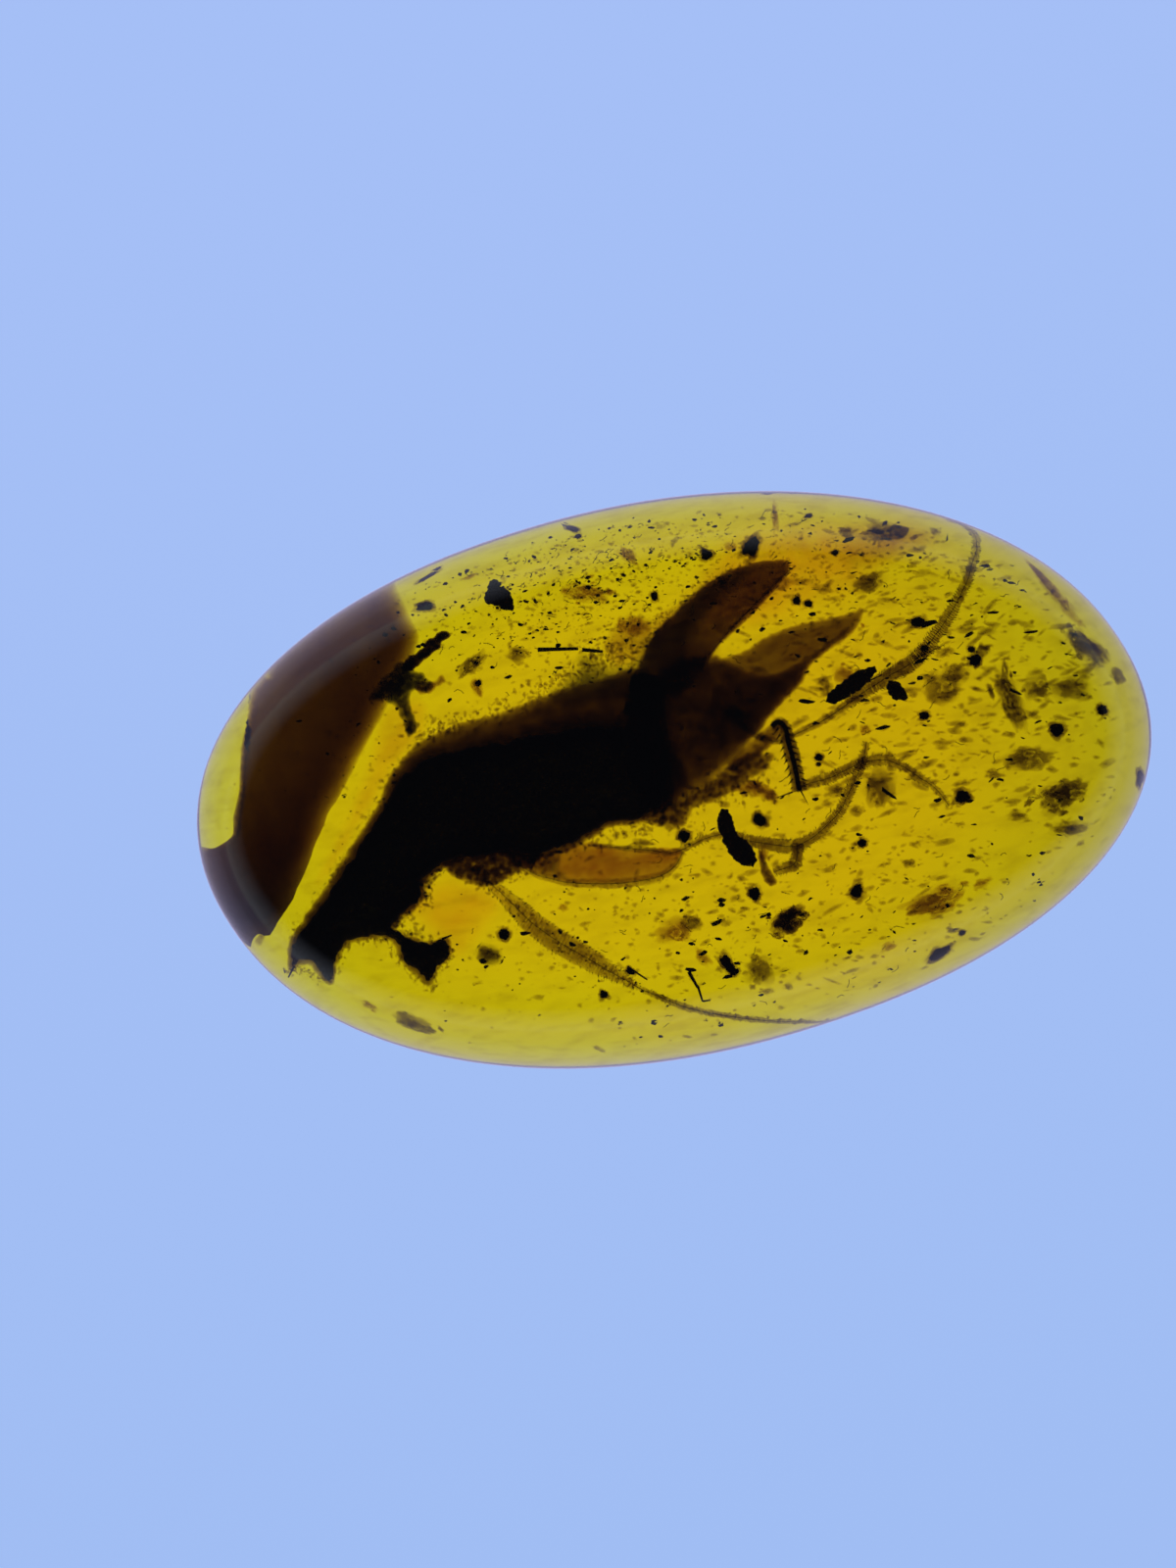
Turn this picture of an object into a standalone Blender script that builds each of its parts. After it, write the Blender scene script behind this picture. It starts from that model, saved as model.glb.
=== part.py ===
"""A fossil insect sealed in a polished amber pebble.

The pebble lies on its flat base. X runs along its length, Z is up, and the origin is the middle of the base.
Places inside it are given as points of the reference view from above, in pixels, and sizes in millimetres.
"""
import math
import random

import bmesh
import bpy
from mathutils import Matrix, Vector

MM = 0.001

# The view from above: how large a pixel is, where the pebble's middle lies and how far its length is turned.
PIXEL_MM = 0.0247
MIDDLE_PX = (687.4, 793.5)
VIEW_TURN_DEG = 13.0

# How light bends in amber, and the step over which the dome's slope is taken. Past the level, the view is left be.
AMBER_INDEX = 1.54
SLOPE_STEP_MM = 0.01
STEEPEST_LEVEL = 0.97

# The pebble: a leaning superellipse from above and a dome from the side, ground flat underneath up to its edge.
HALF_LENGTH_MM = 11.76
HALF_WIDTH_MM = 7.11
ROUNDNESS = 2.13
LEAN_DEG = 5.1
SKEW = -0.275
TAPER = -0.012
SAG_MM = 0.145
GIRDLE_Z_MM = 0.8
CROWN_MM = 4.2
BELLY_MM = 2.2
PEBBLE_SEGMENTS = 48
PEBBLE_RINGS = 18

GAP_MM = 0.3
PART_Z_MM = 1.7
POCKET_SIDES = 6

AMBER = {"color": (0.72, 0.43, 0.01), "roughness": 0.06}
DARK_RESIN = {"color": (0.07, 0.028, 0.008), "roughness": 0.25}
CHITIN = {"color": (0.025, 0.015, 0.008), "roughness": 0.4}
BARK = {"color": (0.03, 0.02, 0.01), "roughness": 0.8}
OLIVE_CRUMB = {"color": (0.16, 0.11, 0.02), "roughness": 0.7}

# The insect's forms, each a line from above with its half width in mm. "flat" is the height over the width.
TRUNK = {
    "flat": 0.5, "z": (1.6, 1.9), "sides": 14, "steps": 2,
    "line": [(347, 950, 0.75), (366, 925, 1.05), (390, 896, 1.16), (414, 860, 1.14), (456, 828, 1.66),
             (510, 811, 2.06), (560, 790, 2.12), (610, 768, 2.08), (660, 745, 1.92), (700, 722, 1.66),
             (735, 702, 1.05), (765, 686, 0.45)],
}
UPPER_WING_CASE = {
    "flat": 0.5, "z": (1.8, 2.2), "sides": 10, "steps": 2,
    "line": [(640, 722, 0.45), (680, 682, 0.80), (715, 642, 0.76), (745, 612, 0.66), (775, 591, 0.42),
             (800, 574, 0.05)],
}
LOWER_WING_CASE = {
    "flat": 0.45, "z": (1.6, 1.7), "sides": 10, "steps": 2,
    "line": [(690, 744, 0.9), (735, 718, 1.04), (771, 698, 0.92), (794, 678, 0.76), (820, 658, 0.52),
             (850, 643, 0.34), (878, 622, 0.05)],
}
PALE_LIMB = {
    "flat": 0.6, "z": (1.45, 1.45), "sides": 10, "steps": 2,
    "line": [(520, 872, 0.2), (560, 879, 0.38), (600, 880, 0.52), (640, 883, 0.48), (675, 880, 0.33),
             (697, 867, 0.09)],
}
LEFT_FRONT_LIMB = {
    "flat": 0.8, "z": (1.55, 1.55), "sides": 8, "steps": 2,
    "line": [(352, 936, 0.7), (322, 962, 0.5), (326, 984, 0.3), (339, 1002, 0.06)],
}
RIGHT_FRONT_LIMB = {
    "flat": 0.8, "z": (1.55, 1.55), "sides": 8, "steps": 2,
    "line": [(392, 925, 0.6), (416, 956, 0.4), (436, 976, 0.46), (440, 1003, 0.06)],
}
FRONT_CLAW = {
    "flat": 0.8, "z": (1.55, 1.55), "sides": 8, "steps": 1,
    "line": [(430, 974, 0.3), (450, 966, 0.24), (461, 962, 0.1)],
}
FEELER = {
    "flat": 1.0, "z": (1.45, 1.3), "sides": 8, "steps": 2,
    "line": [(492, 886, 0.10), (505, 903, 0.12), (525, 922, 0.2), (545, 942, 0.25), (572, 961, 0.26),
             (600, 976, 0.24), (625, 990, 0.17), (647, 1003, 0.1), (668, 1014, 0.06), (701, 1027, 0.05),
             (745, 1036, 0.045)],
}
HIND_LEG = {
    "flat": 1.0, "z": (1.45, 1.35), "sides": 6, "steps": 2,
    "line": [(740, 728, 0.12), (768, 748, 0.1), (797, 755, 0.08), (830, 740, 0.07), (850, 728, 0.08),
             (876, 709, 0.12), (909, 688, 0.14), (942, 663, 0.15), (967, 628, 0.13), (986, 591, 0.11),
             (990, 576, 0.09)],
}
SPINED_SHIN = {
    "flat": 1.0, "z": (1.4, 1.35), "sides": 8, "steps": 1,
    "line": [(742, 716, 0.14), (770, 738, 0.12), (793, 737, 0.13), (800, 753, 0.14), (806, 772, 0.13),
             (812, 806, 0.13)],
}
MIDDLE_FOOT = {
    "flat": 1.0, "z": (1.35, 1.35), "sides": 6, "steps": 2,
    "line": [(811, 804, 0.12), (846, 793, 0.12), (871, 781, 0.12), (904, 776, 0.11), (937, 796, 0.1),
             (962, 816, 0.08), (964, 824, 0.06)],
}
LOWER_LEG = {
    "flat": 1.0, "z": (1.35, 1.35), "sides": 6, "steps": 2,
    "line": [(688, 869, 0.07), (717, 856, 0.06), (738, 851, 0.07), (760, 857, 0.11), (785, 861, 0.13),
             (812, 864, 0.13), (841, 843, 0.12), (863, 811, 0.12), (879, 773, 0.1), (882, 757, 0.08)],
}
LOWER_HOOK = {
    "flat": 1.0, "z": (1.35, 1.35), "sides": 8, "steps": 1,
    "line": [(812, 862, 0.12), (808, 880, 0.12), (791, 887, 0.07)],
}
LIMBS = {
    "upper_wing_case": UPPER_WING_CASE, "lower_wing_case": LOWER_WING_CASE, "pale_limb": PALE_LIMB,
    "left_front_limb": LEFT_FRONT_LIMB, "right_front_limb": RIGHT_FRONT_LIMB, "front_claw": FRONT_CLAW,
    "feeler": FEELER, "hind_leg": HIND_LEG, "spined_shin": SPINED_SHIN, "middle_foot": MIDDLE_FOOT,
    "lower_leg": LOWER_LEG, "lower_hook": LOWER_HOOK,
}

# The shin's spines: from which point of its line on, where along each stretch, and how far they lean footwards.
SPINES_FROM = 2
SPINE_SHARES = (0.3, 0.8)
SPINE_LEAN = 0.6
SPINE_ROOT_MM = 0.04
SPINE_LENGTH_MM = 0.25
SPINE_RADIUS_MM = 0.03
SPINE_TIP_RADIUS_MM = 0.008

# The dark band's outline from above. It runs past the pebble's edge at both ends and is cut back to it.
BAND_OUTLINE = [(258, 640), (268, 696), (251, 750), (244, 810), (239, 862), (212, 884), (204, 980), (244, 985),
                (262, 944), (284, 914), (304, 876), (322, 834), (345, 796), (382, 731), (420, 655), (402, 609),
                (396, 560), (310, 580)]
BAND_DEPTH_MM = 0.6

# Two seeds that taper at both ends, and a seed with a bent tail.
SPINDLE_SEED = {
    "flat": 0.7, "z": (2.1, 2.1), "sides": 8, "steps": 1,
    "line": [(843, 716, 0.03), (852, 709, 0.16), (866, 700, 0.19), (880, 691, 0.16), (891, 684, 0.04)],
}
RHOMB_SEED = {
    "flat": 0.7, "z": (2.1, 2.1), "sides": 6, "steps": 1,
    "line": [(902, 699, 0.05), (909, 704, 0.17), (915, 709, 0.18), (922, 713, 0.05)],
}
COMMA_SEED = {
    "flat": 0.8, "z": (2.1, 2.1), "sides": 8, "steps": 2,
    "line": [(738, 826, 0.05), (738, 840, 0.19), (743, 853, 0.18), (753, 865, 0.24), (766, 878, 0.1)],
}
SEEDS = {"spindle_seed": SPINDLE_SEED, "rhomb_seed": RHOMB_SEED, "comma_seed": COMMA_SEED}

# A flat chip of bark, seen face on.
CHIP_OUTLINE = [(497, 603), (513, 600), (521, 608), (525, 624), (514, 624), (506, 618), (495, 616)]
CHIP_Z_MM = 1.8
CHIP_THICKNESS_MM = 0.24

# Crumbs: middle from above, length, width and height in mm, turn in the view, height of the middle, material.
CRUMBS = {
    "speckled_crumb": ((599, 607), (0.95, 0.42, 0.3), -8, 1.9, BARK),
    "tilted_crumb": ((483, 679), (0.72, 0.34, 0.3), 38, 1.7, BARK),
    "block_crumb": ((802, 938), (0.85, 0.5, 0.36), 28, 1.6, BARK),
    "long_crumb": ((951, 919), (1.4, 0.6, 0.34), 24, 1.9, OLIVE_CRUMB),
    "upright_crumb": ((1027, 715), (1.3, 0.5, 0.34), -68, 1.7, OLIVE_CRUMB),
    "flat_crumb": ((1045, 774), (1.05, 0.46, 0.3), 5, 1.8, OLIVE_CRUMB),
    "round_crumb": ((1082, 810), (1.1, 0.6, 0.36), 24, 1.6, OLIVE_CRUMB),
    "corner_crumb": ((1105, 661), (1.15, 0.5, 0.3), -42, 1.7, OLIVE_CRUMB),
    "top_crumb": ((902, 545), (1.1, 0.46, 0.3), 8, 1.7, OLIVE_CRUMB),
    "rim_crumb": ((425, 1044), (0.95, 0.4, 0.26), -24, 1.7, BARK),
    "olive_disc": ((774, 989), (0.66, 0.58, 0.26), 0, 1.7, OLIVE_CRUMB),
}
CRUMB_ROUGHNESS = 0.16


def clear_scene():
    for item in list(bpy.data.objects):
        bpy.data.objects.remove(item, do_unlink=True)


def new_collection(name):
    collection = bpy.data.collections.new(name)
    bpy.context.scene.collection.children.link(collection)
    return collection


def new_material(name, look):
    material = bpy.data.materials.new(name)
    material.use_nodes = True
    shader = material.node_tree.nodes["Principled BSDF"]
    shader.inputs["Base Color"].default_value = (*look["color"], 1.0)
    shader.inputs["Roughness"].default_value = look["roughness"]
    shader.inputs["Metallic"].default_value = 0.0
    return material


def new_object(name, mesh, collection, look=None):
    mesh.name = name
    item = bpy.data.objects.new(name, mesh)
    collection.objects.link(item)
    if look:
        mesh.materials.append(new_material(name, look))
        mesh.shade_smooth()
        mesh.set_sharp_from_angle(angle=math.radians(40))
    return item


def new_cutter(name, mesh, collection):
    cutter = new_object(name, mesh, collection)
    cutter.hide_render = True
    cutter.display_type = "WIRE"
    return cutter


def mesh_from(bm):
    bmesh.ops.recalc_face_normals(bm, faces=bm.faces)
    mesh = bpy.data.meshes.new("form")
    bm.to_mesh(mesh)
    bm.free()
    return mesh


def level_at(x, y):
    """0 on the pebble's axis, 1 on its outline, for a point in mm seen from above."""
    lean = math.radians(LEAN_DEG)
    leaned_x = x * math.cos(lean) + y * math.sin(lean)
    leaned_y = y * math.cos(lean) - x * math.sin(lean)
    along = (leaned_x - SKEW * leaned_y) / HALF_LENGTH_MM
    across = (leaned_y + SAG_MM * along ** 2) / (HALF_WIDTH_MM * (1 + TAPER * along))
    return (abs(along) ** ROUNDNESS + abs(across) ** ROUNDNESS) ** (1 / ROUNDNESS)


def crown_height(x, y):
    """Height in mm of the polished dome over a point."""
    return GIRDLE_Z_MM + CROWN_MM * math.sqrt(1 - min(level_at(x, y), STEEPEST_LEVEL) ** 2)


def at_pixel(px, py, z_mm):
    """The place in metres of a point seen from above, through the dome, which bends the view inwards."""
    offset = Vector(((px - MIDDLE_PX[0]) * PIXEL_MM, (MIDDLE_PX[1] - py) * PIXEL_MM, 0.0))
    x, y, _ = Matrix.Rotation(-math.radians(VIEW_TURN_DEG), 3, "Z") @ offset
    if level_at(x, y) < STEEPEST_LEVEL:
        top = crown_height(x, y)
        normal = Vector((top - crown_height(x + SLOPE_STEP_MM, y), top - crown_height(x, y + SLOPE_STEP_MM),
                         SLOPE_STEP_MM)).normalized()
        sine = math.sqrt(1 - normal.z ** 2) / AMBER_INDEX
        pull = normal.z / AMBER_INDEX - math.sqrt(1 - sine ** 2)
        sight = Vector((0.0, 0.0, -1.0)) / AMBER_INDEX + pull * normal
        x -= sight.x / sight.z * (top - z_mm)
        y -= sight.y / sight.z * (top - z_mm)
    return Vector((x, y, z_mm)) * MM


def smooth_run(points, steps, closed=False):
    """Points of a smooth curve through the given ones, as a Catmull-Rom spline."""
    count = len(points)
    rows = [Vector(point) for point in points]
    spans = count if closed else count - 1
    run = []
    for i in range(spans):
        before, start = rows[i - 1 if closed else max(i - 1, 0)], rows[i]
        end, after = rows[(i + 1) % count], rows[(i + 2) % count if closed else min(i + 2, count - 1)]
        for step in range(steps):
            t = step / steps
            run.append(0.5 * ((2 * start) + (end - before) * t
                              + (2 * before - 5 * start + 4 * end - after) * t ** 2
                              + (3 * start - before - 3 * end + after) * t ** 3))
    if not closed:
        run.append(rows[-1])
    return run


def loft(form, grow_mm=0.0):
    """Unlike oval sections along a line: half width as given, half height the width times "flat".

    A grown form is a pocket: it has fewer sides, set out so that its flats still clear the form.
    """
    sides = POCKET_SIDES if grow_mm else form["sides"]
    line = smooth_run(form["line"], 1 if grow_mm else form["steps"])
    grow_mm /= math.cos(math.pi / sides)
    low, high = form["z"]
    count = len(line)
    centres = [at_pixel(p.x, p.y, low + (high - low) * i / (count - 1)) for i, p in enumerate(line)]
    bm = bmesh.new()
    rings = []
    for i, centre in enumerate(centres):
        along = (centres[min(i + 1, count - 1)] - centres[max(i - 1, 0)]).normalized()
        across = Vector((-along.y, along.x, 0.0)).normalized()
        end_shift = along * grow_mm * MM * ((i == count - 1) - (i == 0))
        wide = (line[i].z + grow_mm) * MM
        high_mm = (line[i].z * form["flat"] + grow_mm) * MM
        ring = []
        for side in range(sides):
            turn = math.tau * side / sides
            offset = across * math.cos(turn) * wide + Vector((0, 0, math.sin(turn) * high_mm))
            ring.append(bm.verts.new(centre + end_shift + offset))
        rings.append(ring)
    for ring, following in zip(rings, rings[1:]):
        for side in range(sides):
            after = (side + 1) % sides
            bm.faces.new((ring[side], ring[after], following[after], following[side]))
    bm.faces.new(rings[0])
    bm.faces.new(rings[-1])
    return mesh_from(bm)


def outline_plate(outline, low_mm, high_mm, steps, grow_mm=0.0):
    """A flat outline seen from above at its middle height, as a curve that is filled and extruded."""
    curve = bpy.data.curves.new("outline", "CURVE")
    curve.dimensions = "2D"
    curve.fill_mode = "BOTH"
    curve.extrude = (high_mm - low_mm) / 2 * MM
    run = smooth_run([(x, y, 0.0) for x, y in outline], steps, closed=True)
    middle = sum((point.xy for point in run), Vector((0.0, 0.0))) / len(run)
    spline = curve.splines.new("POLY")
    spline.points.add(len(run) - 1)
    spline.use_cyclic_u = True
    for spot, point in zip(spline.points, run):
        outwards = (point.xy - middle).normalized() * grow_mm / PIXEL_MM
        seen = at_pixel(point.x + outwards.x, point.y + outwards.y, (low_mm + high_mm) / 2)
        spot.co = (seen.x, seen.y, 0.0, 1.0)
    guide = bpy.data.objects.new("outline", curve)
    bpy.context.scene.collection.objects.link(guide)
    guide.location.z = (low_mm + high_mm) / 2 * MM
    bpy.context.view_layer.update()
    evaluated = guide.evaluated_get(bpy.context.evaluated_depsgraph_get())
    bm = bmesh.new()
    bm.from_mesh(bpy.data.meshes.new_from_object(evaluated))
    bmesh.ops.remove_doubles(bm, verts=bm.verts, dist=1e-7)
    bmesh.ops.transform(bm, matrix=guide.matrix_world, verts=bm.verts)
    bpy.data.objects.remove(guide, do_unlink=True)
    return mesh_from(bm)


def signed_power(value, power):
    return math.copysign(abs(value) ** power, value)


def pebble(depth_mm=0.0):
    """The pebble's outer surface, or a surface that lies depth_mm inside it."""
    bm = bmesh.new()
    bmesh.ops.create_uvsphere(bm, u_segments=PEBBLE_SEGMENTS, v_segments=PEBBLE_RINGS, radius=1.0)
    lean = math.radians(LEAN_DEG)
    for vert in bm.verts:
        level = math.hypot(vert.co.x, vert.co.y)
        turn = math.atan2(vert.co.y, vert.co.x)
        along = signed_power(math.cos(turn), 2 / ROUNDNESS)
        across = signed_power(math.sin(turn), 2 / ROUNDNESS) * (1 + TAPER * along) * (HALF_WIDTH_MM - depth_mm)
        x = (along * (HALF_LENGTH_MM - depth_mm) + SKEW * across) * level
        y = across * level - SAG_MM * (along * level) ** 2
        z = GIRDLE_Z_MM + vert.co.z * ((CROWN_MM if vert.co.z > 0 else BELLY_MM) - depth_mm)
        vert.co = Vector((x * math.cos(lean) - y * math.sin(lean), x * math.sin(lean) + y * math.cos(lean), z)) * MM
    for axis in (0, 1):
        reach = [vert.co[axis] for vert in bm.verts]
        middle = (min(reach) + max(reach)) / 2
        for vert in bm.verts:
            vert.co[axis] -= middle
    keep_one_side(bm, depth_mm, upper=True)
    return mesh_from(bm)


def keep_one_side(bm, level_mm, upper):
    """Cut at a level, keep what lies above or below it, and close the cut with a flat face."""
    cut = bmesh.ops.bisect_plane(bm, geom=bm.verts[:] + bm.edges[:] + bm.faces[:], dist=1e-8,
                                 plane_co=(0, 0, level_mm * MM), plane_no=(0, 0, 1),
                                 clear_inner=upper, clear_outer=not upper)
    edges = [item for item in cut["geom_cut"] if isinstance(item, bmesh.types.BMEdge)]
    bmesh.ops.contextual_create(bm, geom=edges)


def half_of(mesh, level_mm, upper):
    bm = bmesh.new()
    bm.from_mesh(mesh)
    keep_one_side(bm, level_mm, upper)
    return mesh_from(bm)


def crumb(place, size, turn_deg, z_mm, seed, roughness):
    """A lumpy grain: a ball of 80 faces, drawn out and dented."""
    bm = bmesh.new()
    bmesh.ops.create_icosphere(bm, subdivisions=2, radius=0.5 * MM)
    dents = random.Random(seed)
    for vert in bm.verts:
        vert.co *= 1.0 - dents.random() * roughness
    bmesh.ops.scale(bm, vec=size, verts=bm.verts)
    turn = Matrix.Rotation(math.radians(turn_deg - VIEW_TURN_DEG), 3, "Z")
    bmesh.ops.rotate(bm, matrix=turn, verts=bm.verts)
    bmesh.ops.translate(bm, vec=at_pixel(*place, z_mm), verts=bm.verts)
    return mesh_from(bm)


def crumb_pocket(place, size, turn_deg, z_mm):
    """An eight-sided well that clears a crumb by the gap all round."""
    sides = 8
    bm = bmesh.new()
    reach = 1 / math.cos(math.pi / sides)
    bmesh.ops.create_cone(bm, cap_ends=True, segments=sides, radius1=reach, radius2=reach, depth=2.0)
    vec = Vector(size) / 2 + Vector((GAP_MM, GAP_MM, GAP_MM))
    bmesh.ops.scale(bm, vec=vec * MM, verts=bm.verts)
    turn = Matrix.Rotation(math.radians(turn_deg - VIEW_TURN_DEG), 3, "Z")
    bmesh.ops.rotate(bm, matrix=turn, verts=bm.verts)
    bmesh.ops.translate(bm, vec=at_pixel(*place, z_mm), verts=bm.verts)
    return mesh_from(bm)


def shin_spines():
    """Thin cones that lean out of both sides of the shin, towards the foot."""
    bm = bmesh.new()
    line = [at_pixel(px, py, SPINED_SHIN["z"][1]) for px, py, _ in SPINED_SHIN["line"]]
    for top, foot in zip(line[SPINES_FROM:], line[SPINES_FROM + 1:]):
        along = (foot - top).normalized()
        across = Vector((-along.y, along.x, 0.0))
        for side in (-1, 1):
            for share in SPINE_SHARES:
                lean = (across * side + along * SPINE_LEAN).normalized()
                middle = top.lerp(foot, share) + lean * (SPINE_ROOT_MM + SPINE_LENGTH_MM / 2) * MM
                turn = lean.to_track_quat("Z", "Y").to_matrix().to_4x4()
                bmesh.ops.create_cone(bm, cap_ends=True, segments=4, depth=SPINE_LENGTH_MM * MM,
                                      radius1=SPINE_RADIUS_MM * MM, radius2=SPINE_TIP_RADIUS_MM * MM,
                                      matrix=Matrix.Translation(middle) @ turn)
    return mesh_from(bm)


def boolean(item, operation, tools):
    modifier = item.modifiers.new(operation.lower(), "BOOLEAN")
    modifier.operation = operation
    modifier.solver = "EXACT"
    if isinstance(tools, bpy.types.Collection):
        modifier.operand_type = "COLLECTION"
        modifier.collection = tools
    else:
        modifier.object = tools


def build_insect(parts, pieces, pockets):
    insect = new_object("insect", loft(TRUNK), parts, CHITIN)
    for name, form in LIMBS.items():
        new_cutter(name, loft(form), pieces)
        new_cutter(name + "_pocket", loft(form, GAP_MM), pockets)
    new_cutter("shin_spines", shin_spines(), pieces)
    new_cutter("trunk_pocket", loft(TRUNK, GAP_MM), pockets)
    boolean(insect, "UNION", pieces)


def build_band(parts, tools, pockets):
    top_mm = GIRDLE_Z_MM + CROWN_MM
    band = new_object("dark_resin_band", pebble(BAND_DEPTH_MM), parts, DARK_RESIN)
    outline = new_cutter("band_outline", outline_plate(BAND_OUTLINE, -1.0, top_mm + 1.0, 2), tools)
    boolean(band, "INTERSECT", outline)
    pocket = new_cutter("band_pocket", pebble(BAND_DEPTH_MM - GAP_MM), pockets)
    wider = outline_plate(BAND_OUTLINE, -1.0, top_mm + 1.0, 2, GAP_MM)
    boolean(pocket, "INTERSECT", new_cutter("band_pocket_outline", wider, tools))


def build_loose_pieces(parts, pockets):
    for name, form in SEEDS.items():
        new_object(name, loft(form), parts, BARK)
        new_cutter(name + "_pocket", loft(form, GAP_MM), pockets)
    half = CHIP_THICKNESS_MM / 2
    new_object("bark_chip", outline_plate(CHIP_OUTLINE, CHIP_Z_MM - half, CHIP_Z_MM + half, 1), parts, BARK)
    well = outline_plate(CHIP_OUTLINE, CHIP_Z_MM - half - GAP_MM, CHIP_Z_MM + half + GAP_MM, 1, 1.2 * GAP_MM)
    new_cutter("bark_chip_pocket", well, pockets)
    for seed, (name, (place, size, turn_deg, z_mm, look)) in enumerate(CRUMBS.items()):
        new_object(name, crumb(place, size, turn_deg, z_mm, seed, CRUMB_ROUGHNESS), parts, look)
        new_cutter(name + "_pocket", crumb_pocket(place, size, turn_deg, z_mm), pockets)


def build_amber(parts, pockets):
    whole = pebble()
    for name, upper in (("amber_lower_half", False), ("amber_upper_half", True)):
        level_mm = PART_Z_MM + (GAP_MM / 2 if upper else -GAP_MM / 2)
        half = new_object(name, half_of(whole, level_mm, upper), parts, AMBER)
        boolean(half, "DIFFERENCE", pockets)


def build():
    clear_scene()
    parts = new_collection("insect_in_amber")
    pieces = new_collection("insect_limbs")
    tools = new_collection("band_cutters")
    pockets = new_collection("pockets")
    build_insect(parts, pieces, pockets)
    build_band(parts, tools, pockets)
    build_loose_pieces(parts, pockets)
    build_amber(parts, pockets)


build()
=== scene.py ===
# A fossil insect sealed in a polished amber pebble, on a light pad, looked at from straight above.
# Places inside the pebble are points of the photograph in pixels, sizes are millimetres.
import math
import random

import bmesh
import bpy
import numpy as np
from mathutils import Matrix, Vector, noise


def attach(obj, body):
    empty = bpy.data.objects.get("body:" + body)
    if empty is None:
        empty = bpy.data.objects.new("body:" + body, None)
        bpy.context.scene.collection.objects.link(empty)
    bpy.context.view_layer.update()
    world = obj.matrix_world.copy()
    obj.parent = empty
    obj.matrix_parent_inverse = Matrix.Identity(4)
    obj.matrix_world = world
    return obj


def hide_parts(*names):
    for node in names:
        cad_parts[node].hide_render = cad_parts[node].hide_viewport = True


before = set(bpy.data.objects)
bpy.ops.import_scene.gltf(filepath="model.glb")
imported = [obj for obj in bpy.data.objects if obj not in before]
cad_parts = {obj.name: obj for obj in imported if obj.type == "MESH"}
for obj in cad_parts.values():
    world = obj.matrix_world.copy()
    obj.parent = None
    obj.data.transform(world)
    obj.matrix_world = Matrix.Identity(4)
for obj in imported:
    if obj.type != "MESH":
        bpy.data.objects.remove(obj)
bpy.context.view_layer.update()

scene = bpy.context.scene
mm = 0.001
noise.seed_set(7)   # unseeded, its vectors change with the clock

view = {
    "pixel": 0.0247,            # mm per pixel
    "middle": (687.4, 793.5),   # where the pebble's middle is in the photograph
    "turn": 13.0,               # how far its length is turned there, in degrees
    "over": (600, 800),         # the pixel below the lens
    "tall": 1600,               # the photograph's height in pixels
    "lens": 200, "sensor": 36,  # focal length and film height in mm
    "clip": (0.001, 10.0),
}

# The pebble: a leaning superellipse from above and a dome from the side, ground flat underneath up to its edge.
pebble = {
    "halfLength": 11.76, "halfWidth": 7.11, "roundness": 2.13, "lean": 5.1, "skew": -0.275, "taper": -0.012,
    "sag": 0.145, "girdle": 0.8, "crown": 4.2, "belly": 2.2,
    "segments": 192, "rings": 96,
    "index": 1.54,              # how amber bends light
    "steepest": 0.965,          # past this level, 1 being the outline, the crown is taken as no steeper
    "baseEdge": 0.15,           # how far the edge of the base is rounded off
}
# How near sealed things come to the pebble's surface: as a level sideways, and in mm up and down.
keepIn = {"outline": 0.975, "margin": 0.06, "level": 0.98, "skin": 0.05}


def turned(x, y, degrees):
    return (Matrix.Rotation(math.radians(degrees), 3, "Z") @ Vector((x, y, 0.0))).xy


def levelAt(x, y):
    x, y = turned(x, y, -pebble["lean"])
    along = (x - pebble["skew"] * y) / pebble["halfLength"]
    across = (y + pebble["sag"] * along ** 2) / (pebble["halfWidth"] * (1 + pebble["taper"] * along))
    return (abs(along) ** pebble["roundness"] + abs(across) ** pebble["roundness"]) ** (1 / pebble["roundness"])


def crownHeight(x, y):
    return pebble["girdle"] + pebble["crown"] * math.sqrt(1 - min(levelAt(x, y), 1.0) ** 2)


def bellyHeight(x, y):
    return max(pebble["girdle"] - pebble["belly"] * math.sqrt(1 - min(levelAt(x, y), 1.0) ** 2), 0.0)


def flatPlace(px, py):
    return turned((px - view["middle"][0]) * view["pixel"], (view["middle"][1] - py) * view["pixel"], -view["turn"])


# Where a sight line from straight above is at a height in the pebble: the crown bends it inwards.
def alongSight(x, y, z):
    inner = min(pebble["steepest"] / max(levelAt(x, y), 0.01), 1.0)
    nearX, nearY = x * inner, y * inner
    top = crownHeight(nearX, nearY)
    normal = Vector((top - crownHeight(nearX + 0.01, nearY), top - crownHeight(nearX, nearY + 0.01), 0.01)).normalized()
    sine = math.sqrt(1 - normal.z ** 2) / pebble["index"]
    pull = normal.z / pebble["index"] - math.sqrt(1 - sine ** 2)
    sight = Vector((0.0, 0.0, -1.0)) / pebble["index"] + pull * normal
    fall = max(crownHeight(x, y) - z, 0.0)
    return Vector((x - sight.x / sight.z * fall, y - sight.y / sight.z * fall, z))


def atPixel(px, py, z):
    return alongSight(*flatPlace(px, py), z)


# Points of a smooth curve through the given ones.
def smoothLine(points, steps, closed=False):
    rows = [Vector(point) for point in points]
    count = len(rows)
    run = []
    for i in range(count if closed else count - 1):
        before, start = rows[i - 1 if closed else max(i - 1, 0)], rows[i]
        end, after = rows[(i + 1) % count], rows[(i + 2) % count if closed else min(i + 2, count - 1)]
        for step in range(steps):
            t = step / steps
            run.append(0.5 * ((2 * start) + (end - before) * t + (2 * before - 5 * start + 4 * end - after) * t ** 2
                              + (3 * start - before - 3 * end + after) * t ** 3))
    if not closed:
        run.append(rows[-1])
    return run


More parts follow.
